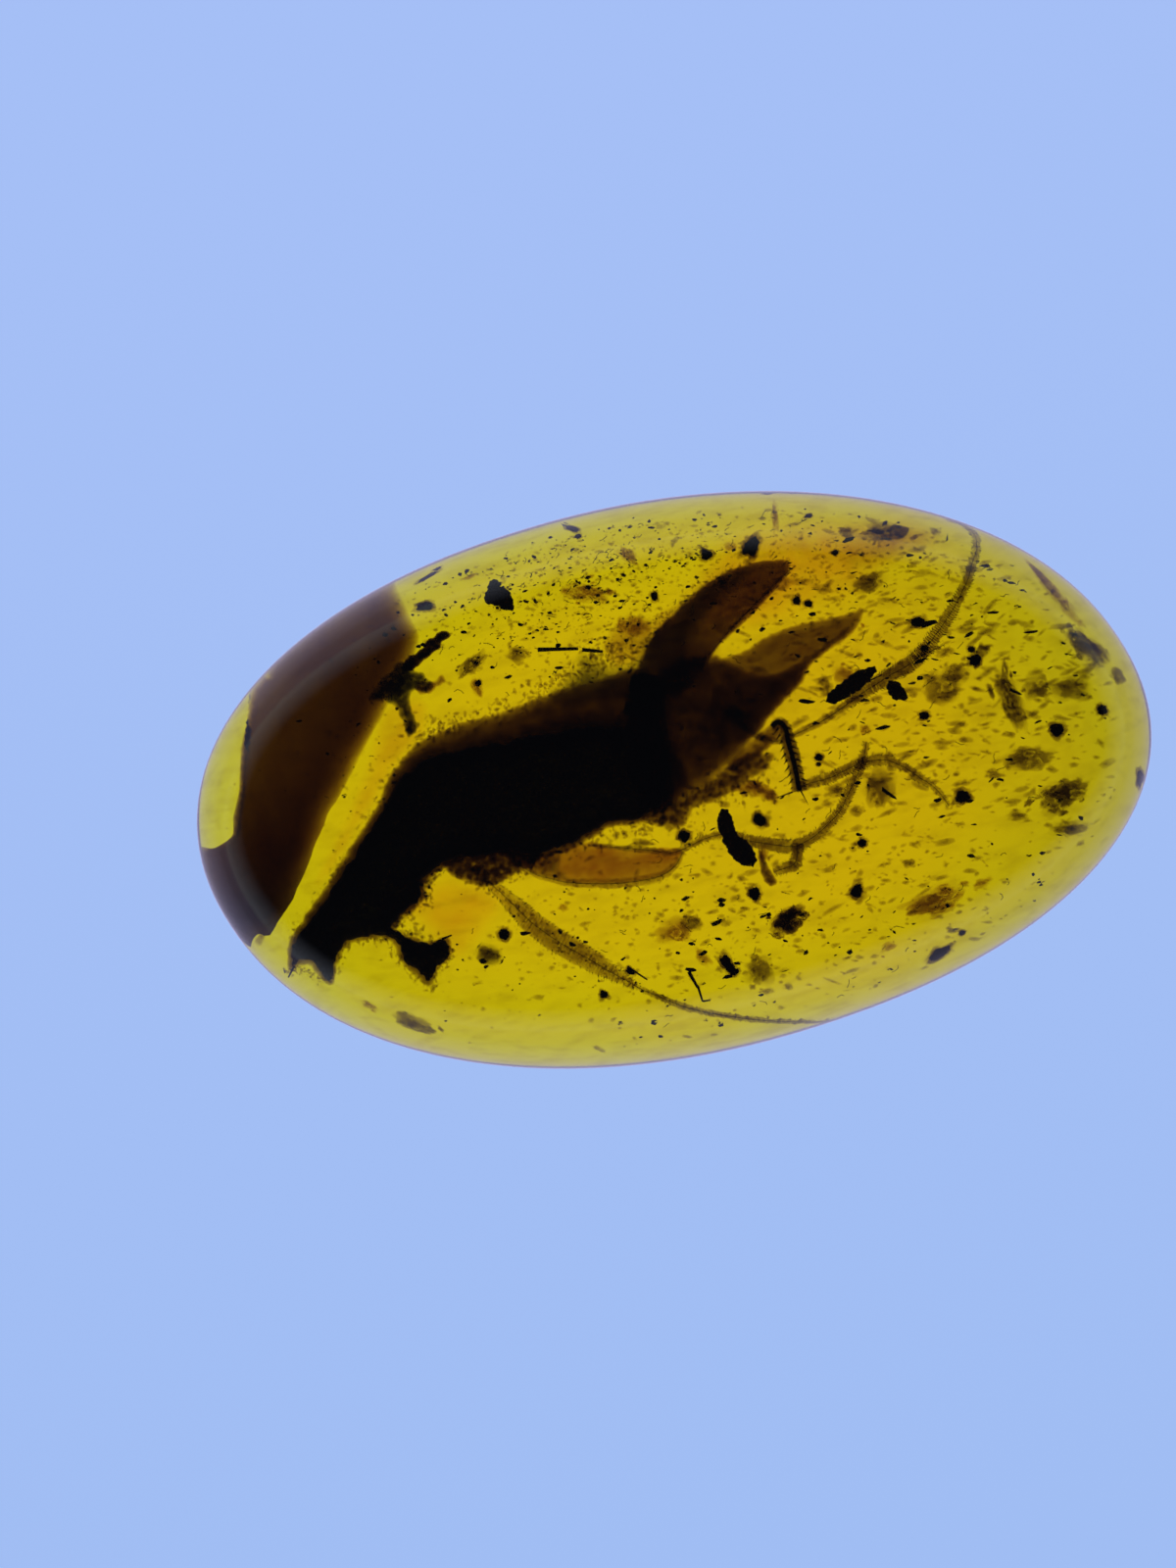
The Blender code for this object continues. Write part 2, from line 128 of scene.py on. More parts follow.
# How far each place lies inside a closed outline, negative outside it, and its nearest point on the outline.
def edgeDistance(places, outline):
    start = np.array([point[:2] for point in outline])
    end = np.roll(start, -1, axis=0)
    run = end - start
    lengths = np.maximum((run ** 2).sum(axis=1), 1e-12)
    away = np.full(len(places), 1e9)
    nearest = np.zeros((len(places), 2))
    inside = np.zeros(len(places), dtype=bool)
    for i in range(len(start)):
        share = np.clip(((places - start[i]) @ run[i]) / lengths[i], 0, 1)
        spot = start[i] + share[:, None] * run[i]
        far = np.hypot(*(places - spot).T)
        closer = far < away
        away[closer] = far[closer]
        nearest[closer] = spot[closer]
        crosses = (start[i, 1] > places[:, 1]) != (end[i, 1] > places[:, 1])
        if crosses.any():
            level = start[i, 0] + (places[:, 1] - start[i, 1]) * run[i, 0] / (run[i, 1] or 1e-12)
            inside ^= crosses & (places[:, 0] < level)
    return np.where(inside, away, -away), nearest


# The forms from here on are made in millimetres.
# A flat sheet of small squares that fills an outline, and how far each of its points lies inside it.
def sheetIn(outline, cell):
    spots = np.array([point[:2] for point in outline])
    low, high = spots.min(axis=0) - cell, spots.max(axis=0) + cell
    wide, tall = high - low
    bm = bmesh.new()
    place = Matrix.Translation((*(low + high) / 2, 0.0)) @ Matrix.Diagonal((wide, tall, 1.0, 1.0))
    bmesh.ops.create_grid(bm, x_segments=max(int(wide / cell), 2), y_segments=max(int(tall / cell), 2),
                          size=0.5, matrix=place)
    bm.verts.ensure_lookup_table()
    away, _ = edgeDistance(np.array([vert.co.xy for vert in bm.verts]), outline)
    outer = [vert for vert, far in zip(bm.verts, away) if far < -0.3 * cell]
    bmesh.ops.delete(bm, geom=outer, context="VERTS")
    bmesh.ops.delete(bm, geom=[vert for vert in bm.verts if not vert.link_faces], context="VERTS")
    away, nearest = edgeDistance(np.array([vert.co.xy for vert in bm.verts]), outline)
    for vert, far, spot in zip(bm.verts, away, nearest):
        if vert.is_boundary or far < 0.3 * cell:
            vert.co.xy = spot
    away, _ = edgeDistance(np.array([vert.co.xy for vert in bm.verts]), outline)
    return bm, np.maximum(away, 0.0)


# Mirrors a sheet that falls to nothing at its border. Faces that are flat there are taken out, so that it closes,
# and its faces look up above and down below.
def closeBelow(bm):
    flat = [face for face in bm.faces if max(vert.co.z for vert in face.verts) < 2e-4]
    bmesh.ops.delete(bm, geom=flat, context="FACES")
    bmesh.ops.mirror(bm, geom=bm.verts[:] + bm.edges[:] + bm.faces[:], axis="Z", merge_dist=2e-4)
    bmesh.ops.recalc_face_normals(bm, faces=bm.faces)
    wrong = [face for face in bm.faces if face.normal.z * face.calc_center_median().z < 0]
    bmesh.ops.reverse_faces(bm, faces=wrong)


# A cushion inside an outline of the photograph. It is thickest from "reach" inwards, and a high power makes
# its edge soft. "lumps" are how strongly and how finely it swells and thins, and from the first point of "fade" to
# the second it thins out altogether. "depth" tells its finish where it is thick.
def pillow(form, steps=6):
    outline = []
    for point in smoothLine([(x, y, 0) for x, y in form["outline"]], steps, True):
        place = Vector((*flatPlace(point.x, point.y), 0.0))
        place += noise.noise_vector(place / 0.13) * form.get("ragged", 0.03)
        outline.append(place * min(keepIn["outline"] / max(levelAt(*place.xy), 0.01), 1.0))
    bm, away = sheetIn(outline, form.get("cell", 0.05))
    depth = bm.verts.layers.float.new("depth")
    amount, size = form.get("lumps", (0.25, 0.3))
    full, gone = [Vector(flatPlace(*spot)) for spot in form.get("fade", ((0, 0), (0, 1)))]
    for vert, far in zip(bm.verts, away):
        vert[depth] = (1 - (1 - min(far / form["reach"], 1.0)) ** 2) ** form.get("power", 0.5)
        if "fade" in form:
            left = (vert.co.xy - gone).dot(full - gone) / (full - gone).length_squared
            vert[depth] *= min(max(left, 0.0), 1.0)
        swell = max(1 + amount * noise.fractal(vert.co / size, 1.0, 2.0, 4), 0.1)
        vert.co.z = form["half"] * vert[depth] * swell
    closeBelow(bm)
    for vert in bm.verts:
        x, y, z = alongSight(vert.co.x, vert.co.y, form["z"] + vert.co.z)
        vert.co = (x, y, min(max(z, bellyHeight(x, y) + keepIn["margin"]), crownHeight(x, y) - keepIn["margin"]))
    return bm


# Oval sections along a line: half width as given, half height the width times "flat".
def tube(form, sides=14, steps=5, width=None):
    line = smoothLine(form["line"], steps)
    low, high = form["z"]
    count = len(line)
    centres = [atPixel(p.x, p.y, low + (high - low) * i / (count - 1)) for i, p in enumerate(line)]
    bm = bmesh.new()
    before = None
    for i, centre in enumerate(centres):
        along = (centres[min(i + 1, count - 1)] - centres[max(i - 1, 0)]).normalized()
        across = Vector((-along.y, along.x, 0.0)).normalized()
        wide = width or max(line[i].z, 0.01)
        turn = Matrix((across, along.cross(across), along)).transposed().to_4x4()
        place = Matrix.Translation(centre) @ turn @ Matrix.Diagonal((wide, wide * form["flat"], 1.0, 1.0))
        if before is None:
            bmesh.ops.create_circle(bm, cap_ends=True, segments=sides, radius=1.0, matrix=place)
            cap = bm.faces[:]
        else:
            grown = bmesh.ops.extrude_face_region(bm, geom=cap)["geom"]
            cap = [item for item in grown if isinstance(item, bmesh.types.BMFace)]
            bmesh.ops.transform(bm, matrix=place @ before.inverted(), verts=cap[0].verts[:])
        before = place
    bmesh.ops.recalc_face_normals(bm, faces=bm.faces)
    bm.normal_update()
    depth = bm.verts.layers.float.new("depth")
    for vert in bm.verts:
        vert[depth] = abs(vert.normal.z)
    return bm


# Pushes every point in or out by a soft noise.
def roughen(bm, amount, size, seed):
    bm.normal_update()
    shift = Vector((seed * 3.7, seed * 1.3, seed * 2.1))
    pushes = [vert.normal * noise.fractal(vert.co / size + shift, 1.0, 2.0, 3) * amount for vert in bm.verts]
    for vert, push in zip(bm.verts, pushes):
        vert.co += push


# A grain at a place, drawn out along the photograph's horizontal and turned. A soft one thins out like a lens.
def grain(bm, place, size, turn, detail=2, rough=0.3, seed=0, soft=0.5):
    depth = bm.verts.layers.float.get("depth") or bm.verts.layers.float.new("depth")
    made = bmesh.ops.create_icosphere(bm, subdivisions=detail, radius=1.0)["verts"]
    shift = Vector((seed * 1.7, seed * 0.9, 0))
    for vert in made:
        swell = 1 + rough * noise.fractal(vert.co * 1.5 + shift, 1.0, 2.0, 4)
        vert.co.z = math.copysign(abs(vert.co.z) ** (2 * soft), vert.co.z)
        vert[depth] = abs(vert.co.z)
        vert.co *= swell
    matrix = Matrix.Translation(place) @ Matrix.Rotation(math.radians(turn - view["turn"]), 4, "Z")
    bmesh.ops.transform(bm, matrix=matrix @ Matrix.Diagonal((*(part / 2 for part in size), 1.0)), verts=made)


# Every group of small things is made on its own and joined at the end, which keeps the steps quick.
def joined(parts):
    whole = bmesh.new()
    for part in parts:
        mesh = bpy.data.meshes.new("part")
        part.to_mesh(mesh)
        part.free()
        whole.from_mesh(mesh)
        bpy.data.meshes.remove(mesh)
    return whole


# Presses whatever comes too near the pebble's surface back under it.
def sealIn(bm):
    for vert in bm.verts:
        x, y = vert.co.xy * min(keepIn["level"] / max(levelAt(*vert.co.xy), 0.01), 1.0)
        vert.co = (x, y, min(max(vert.co.z, bellyHeight(x, y) + keepIn["skin"]), crownHeight(x, y) - keepIn["skin"]))


# A finished piece: to metres, smooth, riding on the one body, with its finish and the nodes that it stands for.
def finished(name, bm, material, nodes=(), sharp=50, sealed=True):
    if sealed:
        sealIn(bm)
    bmesh.ops.scale(bm, vec=(mm, mm, mm), verts=bm.verts)
    mesh = bpy.data.meshes.new(name)
    bm.to_mesh(mesh)
    bm.free()
    mesh.materials.append(material)
    mesh.shade_smooth()
    mesh.set_sharp_from_angle(angle=math.radians(sharp))
    piece = bpy.data.objects.new(name, mesh)
    scene.collection.objects.link(piece)
    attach(piece, "root")
    if nodes:
        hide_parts(*nodes)
    return piece


# The finishes. Their colours are sRGB hex values, turned to linear here.
def colour(text):
    parts = [int(text[i:i + 2], 16) / 255 for i in (0, 2, 4)]
    return (*(part / 12.92 if part <= 0.04045 else ((part + 0.055) / 1.055) ** 2.4 for part in parts), 1.0)


# One node with its settings. A value that is a socket is linked, any other is set. "stops" are the positions and
# sRGB colours of a ramp.
def addNode(tree, kind, sockets=None, stops=(), **settings):
    node = tree.nodes.new("ShaderNode" + kind)
    for name, value in settings.items():
        setattr(node, name, value)
    for socket, value in (sockets or {}).items():
        if isinstance(value, bpy.types.NodeSocket):
            tree.links.new(value, node.inputs[socket])
        else:
            node.inputs[socket].default_value = value
    if stops:
        ramp = node.color_ramp.elements
        while len(ramp) < len(stops):
            ramp.new(0.5)
        for element, (position, text) in zip(ramp, stops):
            element.position = position
            element.color = colour(text)
    return node


# A new material: its tree and the pattern coordinates in metres.
def newMaterial(name):
    material = bpy.data.materials.new(name)
    material.use_nodes = True
    tree = material.node_tree
    tree.nodes.clear()
    return material, tree, addNode(tree, "TexCoord").outputs["Object"]


# A mottled pattern, its spots about "size" mm apart: its value, and that value turned to colours.
def mottle(tree, place, size, stops, detail=4.0, stretch=(1, 1, 1), turn=0.0):
    laid = addNode(tree, "Mapping", {
        "Vector": place, "Rotation": (0, 0, math.radians(turn)), "Scale": stretch})
    pattern = addNode(tree, "TexNoise", {
        "Vector": laid.outputs["Vector"], "Scale": 1 / (size * mm), "Detail": detail})
    value = pattern.outputs["Fac"]
    return value, addNode(tree, "ValToRGB", {"Fac": value}, stops).outputs["Color"]


# Ends a tree, with the light that the filling takes away where there is one.
def finishTree(tree, shader, loss=None):
    ends = {"Surface": shader.outputs["BSDF"]}
    if loss:
        ends["Volume"] = absorbing(tree, loss).outputs["Volume"]
    addNode(tree, "OutputMaterial", ends)


# Light lost per mm in red, green and blue, as the colour and density of an absorbing filling.
def absorbing(tree, loss):
    most = max(loss)
    tint = [1 - part / most for part in loss]
    return addNode(tree, "VolumeAbsorption", {"Color": (*tint, 1.0), "Density": most / mm})


# Old fossil resin, ground and polished: clear, honey to lemon in transmitted light, with the soft gloss and the
# Its sides towards the base carry a grey-blue painted shade that stands in for the dimmer light at its rim, and its far
# end is deeper in colour.
def amberMaterial():
    material, tree, place = newMaterial("polishedAmber")
    _, clouds = mottle(tree, place, 5.0, [(0.35, "fff8e4"), (0.6, "ffffff")], detail=3.0)
    _, grains = mottle(tree, place, 0.35, [(0.3, "e6e2dc"), (0.5, "ffffff")], detail=6.0, stretch=(0.35, 1, 1),
                       turn=13.0)
    split = addNode(tree, "SeparateXYZ", {"Vector": place})
    # Painted shade: by height, the sides between base and crown are tinted grey-blue, darkest just above the base, for
    # the dimmer light near the rim.
    height = addNode(tree, "MapRange", {"Value": split.outputs["Z"], "From Max": 5 * mm})
    rimShade = addNode(tree, "ValToRGB", {"Fac": height.outputs["Result"]}, [
        (0.14, "ffffff"), (0.16, "bcd0ff"), (0.30, "bcd0ff"), (0.46, "d0e8ff"), (0.60, "deedff"), (0.70, "eaf4ff"),
        (0.86, "ffffff")])
    along = addNode(tree, "MapRange", {
        "Value": split.outputs["X"], "From Min": -12 * mm, "From Max": 12 * mm})
    deeper = addNode(tree, "ValToRGB", {"Fac": along.outputs["Result"]}, [
        (0.45, "ffffff"), (0.66, "fdf6ff"), (0.95, "ece8ff")])
    tint = rimShade.outputs["Color"]
    for layer in (deeper.outputs["Color"], clouds, grains):
        tint = addNode(tree, "MixRGB", {"Fac": 1.0, "Color1": tint, "Color2": layer},
                       blend_type="MULTIPLY").outputs["Color"]
    lines, _ = mottle(tree, place, 0.12, [(0.0, "000000"), (1.0, "ffffff")], stretch=(0.15, 1, 1), turn=20.0)
    haze = addNode(tree, "MapRange", {"Value": lines, "To Min": 0.03, "To Max": 0.09})
    bump = addNode(tree, "Bump", {"Height": lines, "Strength": 0.02, "Distance": 0.00002})
    shader = addNode(tree, "BsdfPrincipled", {
        "Base Color": tint, "Roughness": haze.outputs["Result"], "Normal": bump.outputs["Normal"],
        "IOR": pebble["index"], "Transmission Weight": 1.0})
    finishTree(tree, shader, (0.015, 0.07, 2.1))
    return material


# See-through fossil matter, such as thin cuticle or darker resin: no gloss of its own, because amber wets it.
# Its pattern fades out where a form thins out, and "shade" darkens it along one direction of the stone.
def seeThrough(name, loss, size, stops, stretch=(1, 1, 1), turn=0.0, shade=None):
    material, tree, place = newMaterial(name)
    _, pattern = mottle(tree, place, size, stops, stretch=stretch, turn=turn)
    depth = addNode(tree, "Attribute", attribute_name="depth").outputs["Fac"]
    tint = addNode(tree, "MixRGB", {"Fac": depth, "Color1": (1, 1, 1, 1), "Color2": pattern}).outputs["Color"]
    if shade:
        angle, start, end, shadeStops = shade
        laid = addNode(tree, "Mapping", {"Vector": place, "Rotation": (0, 0, math.radians(angle))})
        along = addNode(tree, "SeparateXYZ", {"Vector": laid.outputs["Vector"]})
        share = addNode(tree, "MapRange", {
            "Value": along.outputs["X"], "From Min": start * mm, "From Max": end * mm})
        dark = addNode(tree, "ValToRGB", {"Fac": share.outputs["Result"]}, shadeStops)
        tint = addNode(tree, "MixRGB", {"Fac": 1.0, "Color1": tint, "Color2": dark.outputs["Color"]},
                       blend_type="MULTIPLY").outputs["Color"]
    shader = addNode(tree, "BsdfPrincipled", {
        "Base Color": tint, "Roughness": 0.0, "IOR": 1.0, "Specular IOR Level": 0.0, "Transmission Weight": 1.0})
    finishTree(tree, shader, loss)
    return material


# Solid fossil matter: dark, uneven and dull, because amber wets it too.
def solid(name, size, stops, rough, depth, stretch=(1, 1, 1), turn=0.0):
    material, tree, place = newMaterial(name)
    height, tint = mottle(tree, place, size, stops, detail=6.0, stretch=stretch, turn=turn)
    gloss = addNode(tree, "MapRange", {"Value": height, "To Min": rough - 0.12, "To Max": rough + 0.12})
    bump = addNode(tree, "Bump", {"Height": height, "Strength": 0.6, "Distance": depth * mm})
    shader = addNode(tree, "BsdfPrincipled", {
        "Base Color": tint, "Roughness": gloss.outputs["Result"], "Normal": bump.outputs["Normal"],
        "IOR": 1.56, "Specular IOR Level": 0.06})
    finishTree(tree, shader)
    return material


polishedAmber = amberMaterial()
# Dark cloudy resin, brown by transmitted light, streaked where it flowed and darker towards the head's end.
cloudyResin = seeThrough("cloudyResin", (0.95, 1.25, 2.2), 0.9, [(0.3, "c8a890"), (0.65, "ffffff")],
                         stretch=(1, 0.3, 1), turn=70,
                         shade=(90, -2.2, 0.8, [(0.0, "ffffff"), (0.5, "a890a0"), (1.0, "483844")]))
# Hardened chitin of a beetle-like trunk: near black, finely pitted.
darkChitin = solid("darkChitin", 0.12, [(0.3, "020204"), (0.7, "120b07")], 0.6, 0.02)
# Chitin thin enough for light, from brown to olive, and the pale soft skin of the swollen limb.
brownCuticle = seeThrough("brownCuticle", (2.4, 2.9, 7.0), 0.25, [(0.3, "d0bcac"), (0.6, "ffffff")])
wingCuticle = seeThrough("wingCuticle", (2.5, 3.1, 8.0), 0.14, [(0.3, "c4ac98"), (0.62, "ffffff")],
                         stretch=(0.15, 1, 1), turn=-40)
oliveCuticle = seeThrough("oliveCuticle", (2.4, 2.5, 7.0), 0.2, [(0.3, "ccccb4"), (0.6, "ffffff")])
paleCuticle = seeThrough("paleCuticle", (1.5, 2.3, 5.0), 0.3, [(0.3, "dcb078"), (0.6, "ffffff")],
                         stretch=(0.3, 1, 1), turn=5)
legCuticle = seeThrough("legCuticle", (6.0, 7.0, 14.0), 0.1, [(0.3, "a89880"), (0.6, "ffffff")])
# Rotted bark and frass: dull, crumbly, near black.
darkBark = solid("darkBark", 0.08, [(0.3, "040302"), (0.7, "1c1109")], 0.8, 0.03)
# The crumbly skin of the black bits, crumbs of wood meal that let a little light through, and browner ones.
barkMeal = seeThrough("barkMeal", (13.0, 15.0, 30.0), 0.1, [(0.35, "a89878"), (0.6, "ffffff")])
oliveGrain = seeThrough("oliveGrain", (5.4, 6.2, 14.0), 0.12, [(0.35, "c0b498"), (0.6, "ffffff")], stretch=(0.4, 1, 1))
brownGrain = seeThrough("brownGrain", (3.9, 5.2, 12.0), 0.12, [(0.35, "d0b498"), (0.6, "ffffff")], stretch=(0.4, 1, 1))
# Flows of redder and of duskier resin.
orangeVeil = seeThrough("orangeVeil", (0.05, 0.26, 0.8), 0.6, [(0.3, "f4ecdc"), (0.6, "ffffff")], stretch=(0.5, 1, 1))
duskVeil = seeThrough("duskVeil", (0.3, 0.42, 1.0), 0.5, [(0.3, "f0e4d0"), (0.6, "ffffff")], stretch=(0.4, 1, 1))
print("materials made")


studio = {
    "pad": "a5bff6",                     # what the camera sees of the pad
    "padFar": "a0bdf3",                  # and a little darker towards the bottom of the picture
    "light": (0.66, 0.62, 1.0),          # what the pad sends through the stone
    "window": (12.2, 7.6, 1.0),          # half its length, width and depth in mm
    "fall": (1.1, 2.2), "dimmed": 0.6,   # between these shares of them it falls off to so much
    "size": 1.2, "below": 0.00008,       # its half size and how far it is below the stone, in metres
    "darker": (0.018, -0.022),           # from here to there it goes to padFar, in metres
    "horizon": (0.55, 0.6, 0.75),        # pale light low around the stone
    "overhead": (0.03, 0.032, 0.045),    # and hardly any from above
}


def addCamera():
    height = view["tall"] * view["pixel"]
    middle = Vector((*flatPlace(*view["over"]), pebble["girdle"]))
    distance = view["lens"] * height / view["sensor"]
    data = bpy.data.cameras.new("camera")
    data.lens = view["lens"]
    data.clip_start, data.clip_end = view["clip"]
    camera = bpy.data.objects.new("camera", data)
    camera.location = (middle + Vector((0, 0, distance))) * mm
    camera.rotation_euler = (0, 0, math.radians(-view["turn"]))
    scene.collection.objects.link(camera)
    scene.camera = camera


def addStage():
    bm = bmesh.new()
    bmesh.ops.create_grid(bm, x_segments=8, y_segments=8, size=studio["size"])
    bmesh.ops.translate(bm, vec=(0, 0, -studio["below"]), verts=bm.verts)
    mesh = bpy.data.meshes.new("lightPad")
    bm.to_mesh(mesh)
    bm.free()
    floor = bpy.data.objects.new("lightPad", mesh)
    scene.collection.objects.link(floor)
    material, tree, place = newMaterial("opalLightPad")
    split = addNode(tree, "SeparateXYZ", {"Vector": place})
    down = addNode(tree, "MapRange", {
        "Value": split.outputs["Y"], "From Min": studio["darker"][0], "From Max": studio["darker"][1]})
    seen = addNode(tree, "MixRGB", {
        "Fac": down.outputs["Result"], "Color1": colour(studio["pad"]), "Color2": colour(studio["padFar"])})
    shape = addNode(tree, "Mapping", {
        "Vector": place, "Scale": [1 / (part * mm) for part in studio["window"]]})
    far = addNode(tree, "VectorMath", {"Vector": shape.outputs["Vector"]}, operation="LENGTH")
    fall = addNode(tree, "MapRange", {
        "Value": far.outputs["Value"], "From Min": studio["fall"][0], "From Max": studio["fall"][1]})
    dimmed = [part * studio["dimmed"] for part in studio["light"]]
    light = addNode(tree, "MixRGB", {
        "Fac": fall.outputs["Result"], "Color1": (*studio["light"], 1), "Color2": (*dimmed, 1)})
    path = addNode(tree, "LightPath")
    shown = addNode(tree, "MixRGB", {
        "Fac": path.outputs["Is Camera Ray"], "Color1": light.outputs["Color"], "Color2": seen.outputs["Color"]})
    glow = addNode(tree, "Emission", {"Color": shown.outputs["Color"]})
    addNode(tree, "OutputMaterial", {"Surface": glow.outputs["Emission"]})
    mesh.materials.append(material)


def addWorld():
    world = bpy.data.worlds.new("studio")
    scene.world = world
    world.use_nodes = True
    tree = world.node_tree
    tree.nodes.clear()
    place = addNode(tree, "TexCoord")
    split = addNode(tree, "SeparateXYZ", {"Vector": place.outputs["Generated"]})
    ring = addNode(tree, "ValToRGB", {"Fac": split.outputs["Z"]})
    ring.color_ramp.elements[0].color = (*studio["horizon"], 1)
    ring.color_ramp.elements[1].color = (*studio["overhead"], 1)
    ring.color_ramp.elements[0].position = 0.04
    ring.color_ramp.elements[1].position = 0.3
    path = addNode(tree, "LightPath")
    shown = addNode(tree, "MixRGB", {
        "Fac": path.outputs["Is Camera Ray"], "Color1": ring.outputs["Color"], "Color2": colour(studio["pad"])})
    back = addNode(tree, "Background", {"Color": shown.outputs["Color"]})
    addNode(tree, "OutputWorld", {"Surface": back.outputs["Background"]})


scene.view_settings.view_transform = "Standard"
addCamera()
addStage()
addWorld()
print("camera, pad and studio light placed")


def signedPower(value, power):
    return math.copysign(abs(value) ** power, value)


def pebbleForm():
    bm = bmesh.new()
    bmesh.ops.create_uvsphere(bm, u_segments=pebble["segments"], v_segments=pebble["rings"], radius=1.0)
    for vert in bm.verts:
        level, turn = math.hypot(vert.co.x, vert.co.y), math.atan2(vert.co.y, vert.co.x)
        along = signedPower(math.cos(turn), 2 / pebble["roundness"])
        across = signedPower(math.sin(turn), 2 / pebble["roundness"]) * (1 + pebble["taper"] * along)
        across *= pebble["halfWidth"]
        x = (along * pebble["halfLength"] + pebble["skew"] * across) * level
        y = across * level - pebble["sag"] * (along * level) ** 2
        z = pebble["girdle"] + vert.co.z * (pebble["crown"] if vert.co.z > 0 else pebble["belly"])
        vert.co = Vector((*turned(x, y, pebble["lean"]), z))
    for axis in (0, 1):
        reach = [vert.co[axis] for vert in bm.verts]
        shift = Vector((0, 0, 0))
        shift[axis] = -(min(reach) + max(reach)) / 2
        bmesh.ops.translate(bm, vec=shift, verts=bm.verts)
    cut = bmesh.ops.bisect_plane(bm, geom=bm.verts[:] + bm.edges[:] + bm.faces[:], dist=1e-6,
                                 plane_co=(0, 0, 0), plane_no=(0, 0, 1), clear_inner=True)["geom_cut"]
    rim = [item for item in cut if isinstance(item, bmesh.types.BMEdge)]
    base = bmesh.ops.contextual_create(bm, geom=rim)["faces"]
    bmesh.ops.bevel(bm, geom=base[0].edges[:], affect="EDGES", offset=pebble["baseEdge"], segments=3, profile=0.5,
                    material=-1)
    bmesh.ops.recalc_face_normals(bm, faces=bm.faces)
    return bm


finished("amberPebble", pebbleForm(), polishedAmber, ["amber_lower_half", "amber_upper_half"],
         sharp=60, sealed=False)
print("pebble made")


band = {
    "outline": [
        (262, 640), (277, 683), (260, 711), (249, 760), (245, 805), (241, 830), (240, 850), (232, 862), (205, 868),
        (190, 930), (236, 985), (258, 966), (273, 947), (284, 950), (296, 924), (316, 880), (334, 836), (356, 798),
        (392, 731), (428, 660), (420, 630), (408, 600), (400, 540), (310, 560)],
    "sharpSide": [(270, 694), (260, 711), (249, 760), (245, 805), (241, 835), (240, 846)],
    "soft": 0.75,     # over how many mm its right side thins out
    "sharp": 0.1,
    "skin": 0.06,     # clear amber above and below it
    "rim": 0.985,     # how near it comes to the pebble's outline, as a level
    "upright": (0.85, 0.95),    # its walls follow the sight lines up to here and stand upright past it, as levels
}


def bandForm():
    outline = [flatPlace(p.x, p.y) for p in smoothLine([(x, y, 0) for x, y in band["outline"]], 4, True)]
    bm, _ = sheetIn(outline, 0.07)
    bmesh.ops.delete(bm, geom=[vert for vert in bm.verts if levelAt(*vert.co.xy) > band["rim"]], context="VERTS")
    bmesh.ops.delete(bm, geom=[vert for vert in bm.verts if not vert.link_faces], context="VERTS")
    depth = bm.verts.layers.float.new("depth")
    away, _ = edgeDistance(np.array([vert.co.xy for vert in bm.verts]), outline)
    firm = [flatPlace(px, py) for px, py in band["sharpSide"]]
    firm += firm[-2:0:-1]
    fromFirm, _ = edgeDistance(np.array([vert.co.xy for vert in bm.verts]), firm)
    for vert, far, near in zip(bm.verts, away, np.abs(fromFirm)):
        x, y = vert.co.xy
        fade = band["sharp"] + (band["soft"] - band["sharp"]) * min(max(near - 0.5, 0) / 1.2, 1.0)
        vert[depth] = 0.0 if vert.is_boundary else 1 - (1 - min(max(far, 0.0) / fade, 1.0)) ** 2
        vert.co.z = max(crownHeight(x, y) - bellyHeight(x, y) - 2 * band["skin"], 0) / 2 * vert[depth]
    closeBelow(bm)
    roughen(bm, 0.05, 0.7, 4)
    low, high = band["upright"]
    fromFirm, _ = edgeDistance(np.array([vert.co.xy for vert in bm.verts]), firm)
    for vert, near in zip(bm.verts, np.abs(fromFirm)):
        x, y = vert.co.xy
        z = vert.co.z + (crownHeight(x, y) + bellyHeight(x, y)) / 2
        share = min(max((high - levelAt(x, y)) / (high - low), 1.4 - near / 0.4, 0.0), 1.0)
        vert.co = Vector((x, y, z)).lerp(alongSight(x, y, z), share)
    return bm


finished("darkResinBand", bandForm(), cloudyResin, ["dark_resin_band"])
print("dark band made")

# The solid trunk: black where the photograph lets no light through.
trunk = {
    "z": 1.75, "half": 0.9, "reach": 1.5, "power": 0.6, "ragged": 0.06, "outline": [
        (445, 772), (470, 766), (505, 760), (540, 752), (572, 747), (600, 742), (628, 742), (648, 750), (655, 765),
        (662, 785), (672, 800), (676, 818), (660, 830), (640, 837), (622, 838), (602, 849), (583, 860), (562, 866),
        (540, 871), (515, 868), (492, 872), (470, 874), (452, 880), (440, 890), (432, 900), (431, 914), (421, 925),
        (411, 932), (404, 946), (420, 956), (440, 961), (455, 958), (459, 973), (447, 986), (440, 1001), (430, 993),
        (414, 978), (408, 963), (396, 954), (382, 953), (360, 958), (347, 970), (342, 984), (339, 1000), (329, 994),
        (320, 981), (308, 979), (300, 986), (299, 968), (304, 955), (318, 940), (341, 906), (365, 869), (390, 830),
        (406, 800), (424, 782)]}

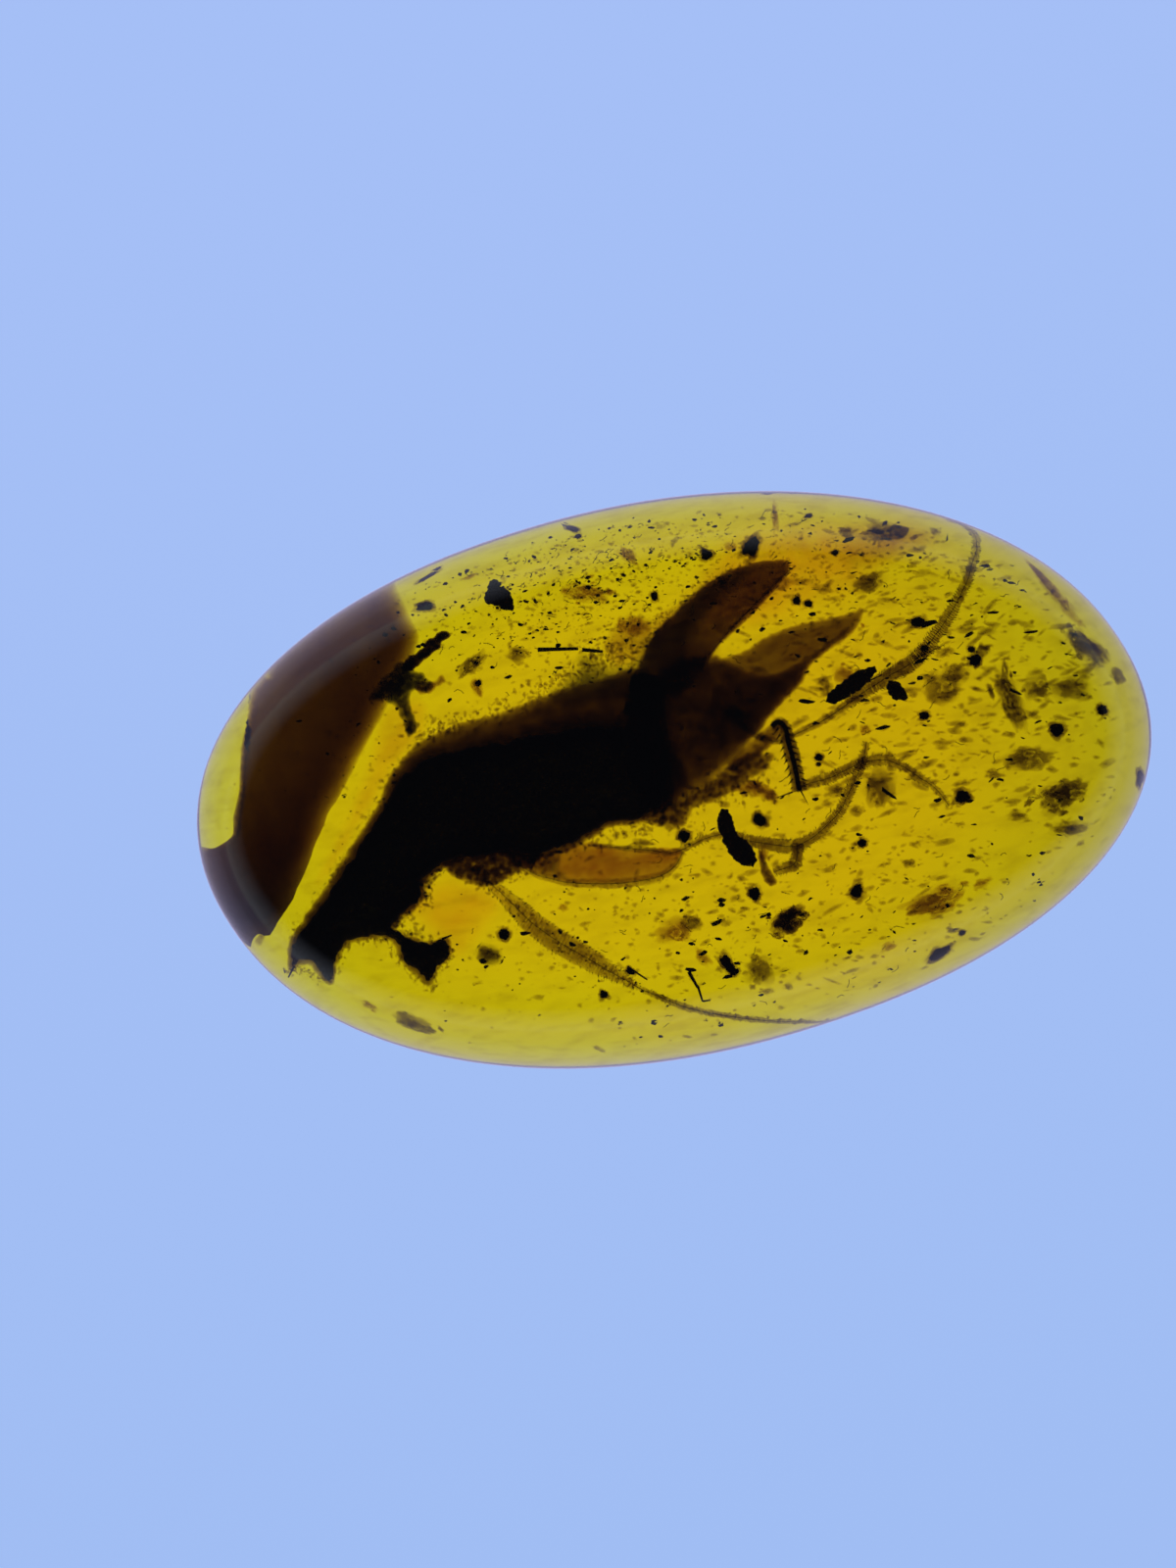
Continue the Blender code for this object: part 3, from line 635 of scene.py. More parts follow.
# See-through forms: the thin shell and skin round the solid ones, and the rotted matter that clings to them.
insectSkins = {
    "trunkSkin": (brownCuticle, {"z": 1.75, "half": 0.6, "reach": 0.5, "power": 0.7, "lumps": (0.22, 0.35),
        "ragged": 0.05, "outline": [
        (433, 754), (466, 739), (500, 730), (519, 724), (545, 713), (570, 704), (588, 699), (610, 694), (635, 684),
        (658, 682), (676, 702), (682, 740), (684, 770), (688, 800), (685, 824), (664, 836), (641, 843), (624, 844),
        (603, 856), (585, 866), (567, 873), (548, 878), (530, 876), (512, 873), (490, 878), (470, 880), (455, 886),
        (443, 895), (436, 903), (437, 916), (428, 927), (416, 934), (407, 947), (421, 953), (440, 958), (459, 954),
        (462, 975), (448, 989), (440, 1006), (427, 997), (410, 981), (404, 965), (394, 958), (383, 958), (361, 963),
        (351, 973), (345, 988), (341, 1005), (329, 999), (319, 986), (306, 985), (296, 993), (295, 967), (300, 951),
        (312, 935), (334, 902), (358, 865), (383, 826), (398, 793), (414, 770)]}),
    "trunkShade": (brownCuticle, {"z": 1.75, "half": 0.6, "reach": 0.8, "power": 1.1, "lumps": (0.25, 0.3),
        "ragged": 0.1, "outline": [
        (432, 764), (470, 752), (505, 745), (540, 736), (572, 728), (605, 722), (635, 718), (665, 722), (684, 742),
        (696, 770), (704, 796), (694, 822), (664, 838), (641, 843), (624, 844), (603, 856), (585, 866), (567, 873),
        (540, 880), (512, 878), (470, 882), (443, 897), (437, 916), (416, 934), (400, 950), (340, 960), (300, 980),
        (300, 951), (312, 935), (334, 902), (358, 865), (383, 826), (398, 793), (414, 772)]}),
    "upperCaseSkin": (wingCuticle, {"z": 2.05, "half": 0.5, "reach": 0.22, "power": 0.6, "lumps": (0.15, 0.2),
        "fade": ((690, 665), (640, 735)), "outline": [
        (668, 645), (685, 628), (700, 613), (721, 596), (748, 581), (773, 574), (803, 573), (802, 588), (787, 607),
        (769, 627), (751, 644), (731, 663), (720, 680), (702, 705), (672, 728), (635, 728), (645, 690)]}),
    "upperCaseShade": (oliveCuticle, {"z": 2.2, "half": 0.38, "reach": 0.6, "power": 1.2, "lumps": (0.35, 0.25),
        "ragged": 0.08, "fade": ((690, 650), (640, 720)), "outline": [
        (664, 648), (680, 632), (696, 613), (718, 595), (746, 581), (780, 575), (762, 592), (738, 614), (720, 636),
        (706, 664), (690, 700), (660, 720), (640, 700)]}),
    "caseBase": (brownCuticle, {"z": 2.0, "half": 0.5, "reach": 1.2, "power": 1.8, "lumps": (0.25, 0.3), "ragged": 0.08,
        "outline": [
        (628, 700), (660, 670), (690, 650), (722, 648), (738, 672), (722, 700), (690, 735), (655, 755), (628, 735)]}),
    "lowerCaseSkin": (wingCuticle, {"z": 1.65, "half": 0.36, "reach": 0.3, "power": 0.6, "lumps": (0.12, 0.2),
        "fade": ((770, 690), (690, 735)), "outline": [
        (728, 675), (757, 665), (780, 650), (812, 638), (845, 631), (868, 625), (880, 620), (878, 632), (868, 648),
        (847, 664), (827, 679), (818, 697), (801, 715), (785, 731), (773, 748), (740, 765), (700, 760), (690, 725),
        (708, 690)]}),
    "hindShade": (brownCuticle, {"z": 1.55, "half": 0.52, "reach": 0.36, "power": 0.9, "lumps": (0.3, 0.3),
        "ragged": 0.06, "outline": [
        (872, 634), (866, 646), (846, 662), (826, 678), (817, 696), (802, 714), (786, 730), (773, 748), (755, 770),
        (728, 792), (700, 812), (668, 830), (646, 810), (636, 770), (640, 725), (664, 690), (694, 672), (726, 668),
        (752, 680), (778, 688), (802, 682), (824, 668), (848, 651)]}),
    "hindBase": (brownCuticle, {"z": 1.5, "half": 0.27, "reach": 0.9, "power": 1.2, "lumps": (0.3, 0.3), "ragged": 0.08,
        "outline": [
        (640, 712), (690, 694), (735, 696), (772, 710), (776, 738), (758, 768), (735, 792), (700, 812), (668, 828),
        (640, 800)]}),
    "shoulder": (oliveCuticle, {"z": 1.95, "half": 0.45, "reach": 0.9, "power": 1.5, "lumps": (0.5, 0.3),
        "ragged": 0.12, "outline": [
        (548, 716), (566, 696), (582, 682), (590, 668), (604, 663), (616, 670), (632, 676), (645, 668), (652, 652),
        (668, 644), (684, 640), (684, 664), (670, 692), (645, 712), (606, 722), (575, 726)]}),
    "shoulderHaze": (duskVeil, {"z": 2.2, "half": 0.9, "reach": 0.5, "power": 1.0, "lumps": (0.4, 0.25), "ragged": 0.12,
        "outline": [
        (615, 662), (625, 640), (640, 628), (660, 632), (680, 622), (700, 612), (690, 640), (672, 664), (645, 680),
        (622, 680)]}),
    "backHaze": (brownCuticle, {"z": 2.1, "half": 0.16, "reach": 0.8, "power": 1.2, "lumps": (0.6, 0.25), "ragged": 0.1,
        "outline": [
        (478, 752), (505, 733), (530, 722), (562, 705), (600, 694), (640, 690), (680, 690), (662, 716), (625, 736),
        (585, 745), (540, 750)]}),
    "bellyFringe": (brownCuticle, {"z": 1.5, "half": 0.6, "reach": 0.45, "power": 0.9, "lumps": (0.7, 0.15),
        "ragged": 0.12, "outline": [
        (655, 836), (668, 842), (690, 846), (702, 840), (708, 826), (730, 818), (752, 806), (765, 793), (780, 788),
        (790, 772), (775, 766), (750, 774), (720, 792), (695, 808), (672, 824)]}),
    "hindFluff": (brownGrain, {"z": 1.6, "half": 0.2, "reach": 0.3, "power": 1.0, "lumps": (0.8, 0.12), "ragged": 0.1,
        "outline": [
        (752, 798), (766, 794), (780, 798), (790, 806), (786, 818), (772, 814), (758, 812), (746, 806)]}),
    "hindThigh": (wingCuticle, {"z": 1.5, "half": 0.4, "reach": 0.25, "power": 0.8, "lumps": (0.5, 0.15),
        "ragged": 0.06, "outline": [
        (742, 778), (758, 762), (772, 748), (786, 738), (803, 735), (799, 748), (788, 760), (774, 772), (760, 783),
        (745, 790)]}),
    "wingTip": (wingCuticle, {"z": 1.9, "half": 0.2, "reach": 0.25, "power": 1.2, "lumps": (0.6, 0.15), "ragged": 0.06,
        "outline": [
        (786, 598), (798, 588), (812, 590), (832, 592), (822, 598), (806, 600), (795, 606)]}),
    "paleLimb": (paleCuticle, {"z": 1.45, "half": 0.3, "reach": 0.3, "lumps": (0.25, 0.3), "outline": [
        (520, 876), (531, 884), (546, 891), (563, 896), (583, 901), (621, 901), (646, 900), (671, 895), (687, 885),
        (697, 867), (680, 863), (662, 865), (637, 865), (621, 861), (599, 858), (570, 866), (545, 872)]}),
    "paleLimbEnd": (oliveCuticle, {"z": 1.35, "half": 0.22, "reach": 0.35, "power": 1.0, "lumps": (0.5, 0.2),
        "ragged": 0.06, "outline": [
        (516, 872), (530, 884), (546, 892), (566, 897), (584, 898), (574, 886), (574, 872), (562, 866), (540, 870)]}),
    "yoke": (brownCuticle, {"z": 1.6, "half": 0.75, "reach": 0.4, "power": 0.7, "lumps": (0.8, 0.15), "ragged": 0.08,
        "outline": [
        (450, 878), (480, 868), (520, 864), (556, 868), (550, 880), (536, 888), (520, 896), (506, 904), (490, 904),
        (470, 897), (458, 890)]}),
}
# The trunk's segments: the line that they follow, and their spacing and grooves in mm.
rings = {"axis": ((330, 960), (760, 690)), "every": 1.15, "depth": 0.05, "width": 0.12}


# Shallow grooves across the trunk, where one segment of the body slides under the next.
def grooveTrunk(bm):
    start, end = (atPixel(*spot, 1.75) for spot in rings["axis"])
    along = (end - start).normalized()
    bm.normal_update()
    pushes = []
    for vert in bm.verts:
        far = (vert.co - start).dot(along) % rings["every"] - rings["every"] / 2
        pushes.append(vert.normal * -rings["depth"] * math.exp(-(far / rings["width"]) ** 2))
    for vert, push in zip(bm.verts, pushes):
        vert.co += push


# Crumbs of rotted matter that stick along the body's edges: line, count, how far they stray and their size in mm.
fringes = [
    ([(433, 754), (466, 739), (519, 723), (560, 700), (600, 678), (640, 668)], 420, 0.16, (0.04, 0.12)),
    ([(660, 655), (690, 622), (721, 596), (760, 577)], 160, 0.1, (0.03, 0.09)),
    ([(775, 775), (745, 800), (706, 812), (680, 832), (650, 844)], 320, 0.2, (0.04, 0.14)),
    ([(600, 660), (625, 668), (650, 660), (680, 640)], 200, 0.35, (0.03, 0.1)),
    ([(641, 843), (603, 856), (567, 873), (530, 886), (500, 900), (470, 890)], 260, 0.12, (0.04, 0.12)),
    ([(450, 885), (436, 903), (436, 916), (410, 935), (406, 948), (440, 958), (461, 966)], 320, 0.1, (0.04, 0.12)),
    ([(461, 975), (447, 989), (440, 1005), (410, 981), (394, 957), (360, 963), (344, 990), (329, 998), (306, 985),
        (296, 990)], 340, 0.07, (0.03, 0.1)),
    ([(300, 951), (334, 902), (358, 865), (398, 793), (433, 756)], 200, 0.08, (0.03, 0.08)),
    ([(775, 605), (800, 590), (835, 592)], 60, 0.1, (0.03, 0.08)),
    ([(760, 800), (785, 810)], 60, 0.2, (0.04, 0.12)),
    ([(520, 885), (563, 897), (621, 902), (671, 896), (697, 868)], 200, 0.05, (0.02, 0.06)),
]


# The same inside the feeler, which is grainy, and darkest before its thread.
feelerSpeckles = [
    ([(500, 900), (525, 923), (545, 942)], 70, 0.08, (0.04, 0.1)),
    ([(545, 942), (572, 961), (600, 977)], 70, 0.12, (0.04, 0.1)),
    ([(600, 977), (622, 990), (645, 1003)], 90, 0.07, (0.04, 0.1)),
    ([(668, 1014), (733, 1034), (848, 1040)], 160, 0.03, (0.03, 0.07)),
]


def crumbsAlong(line, count, stray, sizes, dice, z=1.75):
    bm = bmesh.new()
    spots = smoothLine([(x, y, 0) for x, y in line], 12)
    for seed in range(count):
        spot = spots[dice.randrange(len(spots))]
        place = atPixel(spot.x, spot.y, z + dice.uniform(-0.3, 0.3))
        place += Vector((dice.gauss(0, stray), dice.gauss(0, stray), 0))
        size = sizes[0] + (sizes[1] - sizes[0]) * dice.random() ** 2
        sides = (size * dice.uniform(1, 2.2), size, size)
        grain(bm, place, sides, dice.uniform(0, 180), detail=1, rough=0.6, seed=seed)
    return bm


def insectBody():
    core = pillow(trunk)
    grooveTrunk(core)
    roughen(core, 0.035, 0.2, 2)
    finished("trunkCore", core, darkChitin, ["insect"])
    for name, (material, form) in insectSkins.items():
        skin = pillow(form)
        roughen(skin, 0.02, 0.1, 3)
        finished(name, skin, material)
    dice = random.Random(21)
    clinging = [crumbsAlong(*fringe, dice) for fringe in fringes]
    finished("clingingCrumbs", joined(clinging), oliveGrain)
    inner = [crumbsAlong(*speckle, dice, z=1.3) for speckle in feelerSpeckles]
    finished("feelerSpeckles", joined(inner), oliveGrain)


insectBody()
print("insect's trunk, wing cases and pale limb made")

# Lines with half widths in mm, round a solid core that is hair-thin unless "core" says more.
# Hairs: how many, how long in mm, and from which share of the line on.
limbs = {
    "feeler": (brownCuticle, {"flat": 0.9, "z": (1.45, 1.1), "hairs": (260, 0.06, 0.0), "line": [
        (486, 882, 0.14), (494, 893, 0.12), (505, 904, 0.13), (516, 914, 0.18), (528, 926, 0.24), (545, 942, 0.28),
        (572, 961, 0.29), (600, 977, 0.27), (622, 990, 0.2), (640, 1000, 0.12), (648, 1005, 0.06)]}),
    "feelerThread": (legCuticle, {"flat": 1.0, "z": (1.3, 0.95), "hairs": (120, 0.04, 0.0), "line": [
        (646, 1003, 0.07), (652, 1007, 0.05), (668, 1014, 0.075), (701, 1027, 0.08), (733, 1034, 0.08),
        (777, 1040, 0.075), (820, 1042, 0.07), (848, 1040, 0.05)]}),
    "hindLeg": (legCuticle, {"flat": 0.9, "z": (1.45, 1.3), "hairs": (420, 0.07, 0.3), "line": [
        (740, 728, 0.12), (768, 748, 0.1), (785, 756, 0.09), (797, 755, 0.08), (830, 740, 0.09), (850, 728, 0.1),
        (876, 709, 0.14), (895, 697, 0.17), (909, 688, 0.16), (928, 677, 0.19), (942, 663, 0.17), (955, 645, 0.15),
        (967, 628, 0.15), (978, 608, 0.12), (986, 591, 0.12), (990, 576, 0.11), (995, 560, 0.09), (992, 545, 0.11),
        (977, 534, 0.07)]}),
    "hindSpur": (legCuticle, {"flat": 1.0, "z": (1.4, 1.4), "hairs": (30, 0.04, 0.0), "line": [
        (930, 674, 0.1), (942, 668, 0.07), (950, 664, 0.05), (961, 659, 0.02)]}),
    "spinedShin": (legCuticle, {"flat": 1.0, "core": 0.07, "z": (1.4, 1.35), "hairs": (60, 0.05, 0.2), "line": [
        (786, 742, 0.05), (792, 737, 0.11), (799, 742, 0.15), (803, 758, 0.18), (807, 772, 0.18), (811, 790, 0.17),
        (814, 807, 0.19)]}),
    "middleFoot": (legCuticle, {"flat": 1.0, "z": (1.35, 1.35), "hairs": (200, 0.05, 0.1), "line": [
        (811, 804, 0.12), (828, 798, 0.12), (846, 793, 0.13), (871, 781, 0.13), (890, 776, 0.12), (904, 776, 0.12),
        (922, 784, 0.10), (937, 794, 0.12), (948, 801, 0.08), (957, 810, 0.07), (966, 822, 0.03)]}),
    "lowerLeg": (legCuticle, {"flat": 1.0, "z": (1.35, 1.35), "hairs": (300, 0.06, 0.2), "line": [
        (600, 862, 0.05), (640, 865, 0.07), (662, 867, 0.08), (688, 869, 0.08), (717, 856, 0.08), (738, 851, 0.1),
        (760, 857, 0.14), (785, 861, 0.15), (800, 863, 0.16), (812, 862, 0.15), (826, 855, 0.12), (841, 843, 0.12),
        (856, 826, 0.12), (863, 811, 0.13), (873, 790, 0.12), (879, 773, 0.11), (882, 757, 0.06)]}),
    "lowerHook": (legCuticle, {"flat": 1.0, "z": (1.35, 1.35), "hairs": (60, 0.06, 0.0), "line": [
        (812, 860, 0.14), (812, 872, 0.15), (809, 881, 0.16), (800, 885, 0.12), (788, 889, 0.06)]}),
    "wingFold": (brownCuticle, {"flat": 2.0, "z": (1.9, 1.9), "hairs": (0, 0, 0), "line": [
        (810, 579, 0.03), (797, 590, 0.05), (778, 609, 0.05), (757, 630, 0.05), (740, 648, 0.05), (722, 670, 0.06)]}),
    "paleLimbRim": (brownCuticle, {"flat": 1.6, "z": (1.45, 1.45), "hairs": (0, 0, 0), "line": [
        (524, 878, 0.07), (546, 891, 0.08), (563, 896, 0.09), (583, 900, 0.1), (621, 901, 0.12), (646, 899, 0.12),
        (671, 894, 0.11), (687, 884, 0.09), (696, 869, 0.07)]}),
}
spines = {"from": (797, 742), "to": (813, 800), "count": 9, "length": 0.17, "root": 0.03, "tip": 0.004}
spurs = [((815, 806), (823, 821)), ((807, 808), (785, 816))]


def needle(bm, start, end, root, tip):
    along = end - start
    place = Matrix.Translation((start + end) / 2) @ along.to_track_quat("Z", "Y").to_matrix().to_4x4()
    bmesh.ops.create_cone(bm, cap_ends=True, segments=5, radius1=root, radius2=tip, depth=along.length, matrix=place)


def hairsOf(form, dice):
    bm = bmesh.new()
    count, length, first = form["hairs"]
    line = smoothLine(form["line"], 8)
    for _ in range(count):
        share = first + (1 - first) * dice.random()
        i = min(int(share * (len(line) - 1)), len(line) - 2)
        level = form["z"][0] + (form["z"][1] - form["z"][0]) * share
        start, ahead = atPixel(*line[i].xy, level), atPixel(*line[i + 1].xy, level)
        along = (ahead - start).normalized()
        lift = dice.uniform(-0.8, 0.8)
        side = (Vector((-along.y, along.x, 0)) * dice.choice((-1, 1)) + Vector((0, 0, lift))).normalized()
        root = start + side * line[i].z * 0.9
        needle(bm, root, root + (side + along * dice.uniform(0.3, 0.9)) * length * dice.uniform(0.6, 1.2), 0.007, 0.002)
    return bm


def insectLegs():
    hairs, groups = bmesh.new(), []
    dice = random.Random(11)
    for name, (material, form) in limbs.items():
        sleeve = tube(form, steps=9)
        roughen(sleeve, 0.05, 0.09, 5)
        finished(name, sleeve, material)
        core = tube(form, sides=6, width=form.get("core", 0.008))
        finished(name + "Core", core, darkChitin, ["insect"])
        groups.append(hairsOf(form, dice))
    top, foot = atPixel(*spines["from"], 1.36), atPixel(*spines["to"], 1.36)
    along = (foot - top).normalized()
    for side in (-1, 1):
        across = Vector((-along.y, along.x, 0)) * side
        for i in range(spines["count"]):
            root = top.lerp(foot, (i + 0.3 * (side > 0)) / spines["count"]) + across * 0.1
            tip = root + (across + along * 0.7).normalized() * spines["length"] * dice.uniform(0.7, 1.1)
            needle(hairs, root, tip, spines["root"], spines["tip"])
    for start, end in spurs:
        needle(hairs, atPixel(*start, 1.36), atPixel(*end, 1.36), 0.022, 0.004)
    finished("legHairs", joined([hairs, *groups]), darkChitin, ["insect"])


insectLegs()
print("insect's legs and feeler made")


seeds = {
    "spindleSeed": ("spindle_seed", {"flat": 0.7, "z": (2.1, 2.1), "line": [
        (842, 717, 0.05), (850, 711, 0.17), (862, 703, 0.19), (873, 695, 0.19), (883, 688, 0.14), (891, 683, 0.04)]}),
    "rhombSeed": ("rhomb_seed", {"flat": 0.7, "z": (2.1, 2.1), "line": [
        (903, 699, 0.08), (909, 703, 0.18), (915, 709, 0.17), (922, 714, 0.04)]}),
    "commaSeed": ("comma_seed", {"flat": 0.8, "z": (2.1, 2.1), "line": [
        (738, 826, 0.06), (738, 832, 0.15), (739, 842, 0.19), (744, 854, 0.19), (753, 866, 0.25), (762, 875, 0.2),
        (768, 881, 0.06)]}),
}
# Middle, size in mm, turn in degrees, height in the pebble, finish and node.
crumbs = {
    "speckledCrumb": ((599, 607), (0.95, 0.42, 0.34), -8, 1.9, brownGrain, "bark", "speckled_crumb"),
    "tiltedCrumb": ((483, 679), (0.72, 0.34, 0.4), 38, 1.7, oliveGrain, "bark", "tilted_crumb"),
    "blockCrumb": ((802, 938), (0.85, 0.5, 0.4), 28, 1.6, barkMeal, "bark", "block_crumb"),
    "longCrumb": ((951, 919), (1.4, 0.6, 0.36), 24, 1.9, brownGrain, "olive_crumb", "long_crumb"),
    "uprightCrumb": ((1027, 715), (1.3, 0.5, 0.5), -68, 1.7, oliveGrain, "olive_crumb", "upright_crumb"),
    "flatCrumb": ((1045, 774), (1.05, 0.46, 0.45), 5, 1.8, oliveGrain, "olive_crumb", "flat_crumb"),
    "roundCrumb": ((1082, 810), (1.1, 0.6, 0.5), 24, 1.6, oliveGrain, "olive_crumb", "round_crumb"),
    "cornerCrumb": ((1105, 661), (1.15, 0.5, 0.5), -42, 1.7, oliveGrain, "olive_crumb", "corner_crumb"),
    "topCrumb": ((902, 545), (1.1, 0.46, 0.5), 8, 1.7, oliveGrain, "olive_crumb", "top_crumb"),
    "rimCrumb": ((425, 1044), (0.95, 0.4, 0.4), -24, 1.7, oliveGrain, "bark", "rim_crumb"),
    "oliveDisc": ((774, 989), (0.66, 0.58, 0.3), 0, 1.7, oliveGrain, "olive_crumb", "olive_disc"),
}
chip = {
    "body": [(494, 614), (498, 603), (506, 602), (513, 600), (521, 607), (525, 624), (514, 623), (506, 619),
        (497, 617)],
    "tab": [(500, 604), (499, 597), (505, 592), (511, 595), (512, 603), (506, 606)],
}


# A crumb of wood meal: one soft lump with smaller ones grown into it.
def crumb(bm, place, size, turn, dice, lumps=14, detail=5, seed=0):
    grain(bm, place, [part * 1.1 for part in size], turn, detail=detail, rough=0.6, seed=seed, soft=1.1)
    across = Matrix.Rotation(math.radians(turn - view["turn"]), 3, "Z")
    for i in range(lumps):
        stray = [dice.gauss(0, share) * part for share, part in zip((0.27, 0.27, 0.15), size)]
        wide = dice.uniform(0.12, 0.34)
        grain(bm, place + across @ Vector(stray), (size[0] * wide, max(size[1] * wide, 0.06), size[2] * 0.7),
              turn + dice.gauss(0, 15), detail=detail // 2 + 1, rough=0.6, seed=seed + i, soft=0.8)


def loosePieces():
    dice = random.Random(8)
    for seed, (name, (node, form)) in enumerate(seeds.items()):
        bm = tube(form, sides=20, steps=8)
        roughen(bm, 0.06, 0.1, seed)
        finished(name, bm, darkBark, [node])
    parts = [pillow({"outline": outline, "z": 1.8, "half": 0.12, "reach": 0.1, "cell": 0.03})
             for outline in chip.values()]
    whole = joined(parts)
    roughen(whole, 0.04, 0.08, 3)
    finished("barkChip", whole, darkBark, ["bark_chip"])
    for seed, (name, (place, size, turn, z, material, slotName, node)) in enumerate(crumbs.items()):
        bm = bmesh.new()
        crumb(bm, atPixel(*place, z), size, turn, dice, seed=seed + 3)
        finished(name, bm, material, [node])


loosePieces()
print("seeds and crumbs made")


# Small bits: middle and size in pixels, turn in degrees, height in mm.
blackBits = [
    (811, 615, 9, 9, 0, 2.6), (823, 618, 9, 8, 0, 2.5), (992, 675, 13, 13, 0, 2.0), (988, 664, 9, 7, 0, 2.0),
    (697, 853, 13, 13, 0, 2.2), (773, 836, 13, 16, 60, 2.2), (768, 911, 14, 14, 0, 2.2), (877, 860, 10, 10, 0, 2.2),
    (515, 952, 12, 12, 0, 2.0), (616, 1013, 9, 9, 0, 1.5), (643, 989, 12, 8, -20, 1.9), (833, 773, 10, 8, 0, 2.2),
    (833, 780, 6, 5, 0, 2.2), (435, 620, 20, 11, 0, 2.0), (489, 698, 7, 7, 0, 2.2), (872, 908, 15, 13, 60, 2.1),
    (741, 982, 22, 12, -50, 1.8), (748, 990, 12, 8, 10, 1.8), (979, 813, 18, 13, 10, 1.9), (584, 541, 20, 9, -40, 1.9),
    (590, 549, 8, 7, 0, 1.9), (667, 610, 8, 11, 10, 2.2), (765, 560, 16, 26, -30, 2.2), (720, 568, 13, 12, 0, 2.2),
    (1161, 794, 12, 20, 10, 0.9), (783, 506, 12, 6, 0, 0.9), (806, 505, 16, 6, -8, 0.9), (940, 731, 12, 9, 0, 2.0),
    (934, 636, 16, 11, 0, 2.0), (940, 663, 9, 7, 10, 2.2), (957, 972, 26, 12, 30, 1.4), (980, 951, 8, 7, 0, 1.3),
    (1122, 725, 12, 11, 0, 1.4), (1075, 745, 17, 14, 0, 1.6), (824, 528, 9, 6, 20, 1.5), (850, 566, 9, 7, 0, 2.0),
    (600, 601, 7, 5, 0, 2.2), (437, 590, 26, 6, 35, 1.5), (447, 582, 10, 6, 30, 1.5),
]
oliveBits = [
    (1057, 702, 26, 22, 10, 1.5), (1092, 704, 38, 22, 4, 1.5), (1090, 845, 38, 13, 0, 1.5), (1036, 833, 20, 9, 0, 1.6),
    (972, 690, 24, 20, 0, 1.7), (883, 596, 34, 17, 22, 1.9), (862, 545, 16, 14, 0, 1.8), (895, 804, 30, 38, 0, 1.5),
    (871, 827, 12, 10, 0, 1.9), (705, 940, 20, 16, 0, 1.9), (498, 973, 22, 16, 0, 1.3), (611, 1069, 14, 5, -30, 0.9),
    (960, 705, 34, 30, 0, 1.4), (803, 1005, 10, 7, 0, 1.5), (782, 1010, 13, 7, 0, 1.5), (975, 535, 22, 8, -10, 0.9),
    (953, 543, 10, 8, 0, 1.0), (1000, 664, 14, 12, 0, 1.8), (1010, 790, 15, 9, 0, 1.7), (925, 880, 13, 9, 0, 1.8),
    (840, 700, 12, 16, 30, 1.6), (850, 806, 18, 12, 0, 2.3), (905, 770, 9, 7, 0, 2.0), (878, 690, 15, 12, 10, 1.5),
    (655, 860, 22, 9, 0, 1.9), (529, 669, 22, 13, -5, 2.2), (1139, 690, 18, 12, -30, 1.1),
    (1120, 665, 26, 12, -42, 1.2),
]
brownBits = [
    (689, 949, 34, 20, 10, 1.8), (717, 975, 10, 20, 40, 1.8), (777, 870, 10, 16, -15, 1.8),
    (785, 812, 16, 11, -30, 1.9), (770, 802, 18, 8, -30, 1.9), (487, 702, 10, 18, 30, 2.1),
    (1068, 596, 60, 9, -48, 1.0), (1082, 612, 30, 7, -40, 1.0), (621, 606, 9, 7, 0, 2.1), (577, 605, 10, 7, 0, 2.1),
    (650, 640, 26, 20, 0, 2.2), (634, 640, 12, 14, 0, 2.2), (745, 560, 12, 9, 0, 2.1), (640, 568, 22, 12, -40, 2.0),
    (480, 590, 15, 6, 20, 1.8), (860, 690, 20, 16, 0, 1.5), (880, 745, 10, 9, 0, 1.9), (1000, 900, 20, 8, 20, 1.6),
    (905, 965, 16, 8, 20, 1.5), (378, 1025, 16, 8, -30, 1.2), (575, 925, 10, 7, 0, 1.8), (377, 861, 12, 8, 0, 2.6),
    (790, 528, 7, 40, 0, 1.4), (878, 640, 5, 5, 0, 1.9),
]
# Flakes with their own outlines, height, half thickness, reach and finish.
flakes = {
    "edgeFlake": (barkMeal, 1.9, 0.25, 0.15, [
        (411, 684), (417, 672), (424, 668), (431, 664), (436, 655), (444, 650), (452, 645), (460, 649), (452, 657),
        (450, 664), (442, 668), (437, 673), (430, 680), (419, 686)]),
    "edgeSmudge": (oliveCuticle, 1.7, 1.2, 0.5, [
        (376, 716), (386, 700), (398, 686), (410, 676), (424, 684), (436, 690), (444, 700), (436, 708), (424, 706),
        (420, 716), (424, 730), (428, 746), (418, 752), (412, 738), (406, 724), (394, 716)]),
    "edgeRust": (brownGrain, 1.9, 0.16, 0.15, [
        (424, 700), (432, 694), (444, 696), (452, 688), (456, 696), (446, 704), (436, 710), (428, 708)]),
    "edgeDrop": (oliveCuticle, 1.8, 0.4, 0.2, [(414, 742), (422, 736), (430, 738), (426, 748), (418, 754)]),
    "rustySeed": (brownCuticle, 1.9, 0.5, 0.15, [
        (772, 868), (779, 872), (784, 885), (791, 896), (787, 905), (778, 898), (774, 884)]),
    "rimStain": (brownCuticle, 0.9, 0.2, 0.2, [
        (246, 978), (256, 966), (266, 952), (276, 942), (272, 956), (262, 970), (252, 980)]),
    "farStain": (brownGrain, 1.0, 0.07, 0.2, [
        (1046, 562), (1056, 576), (1068, 592), (1082, 610), (1098, 628), (1108, 640), (1098, 640), (1080, 622),
        (1064, 604), (1052, 584), (1042, 566)]),
}
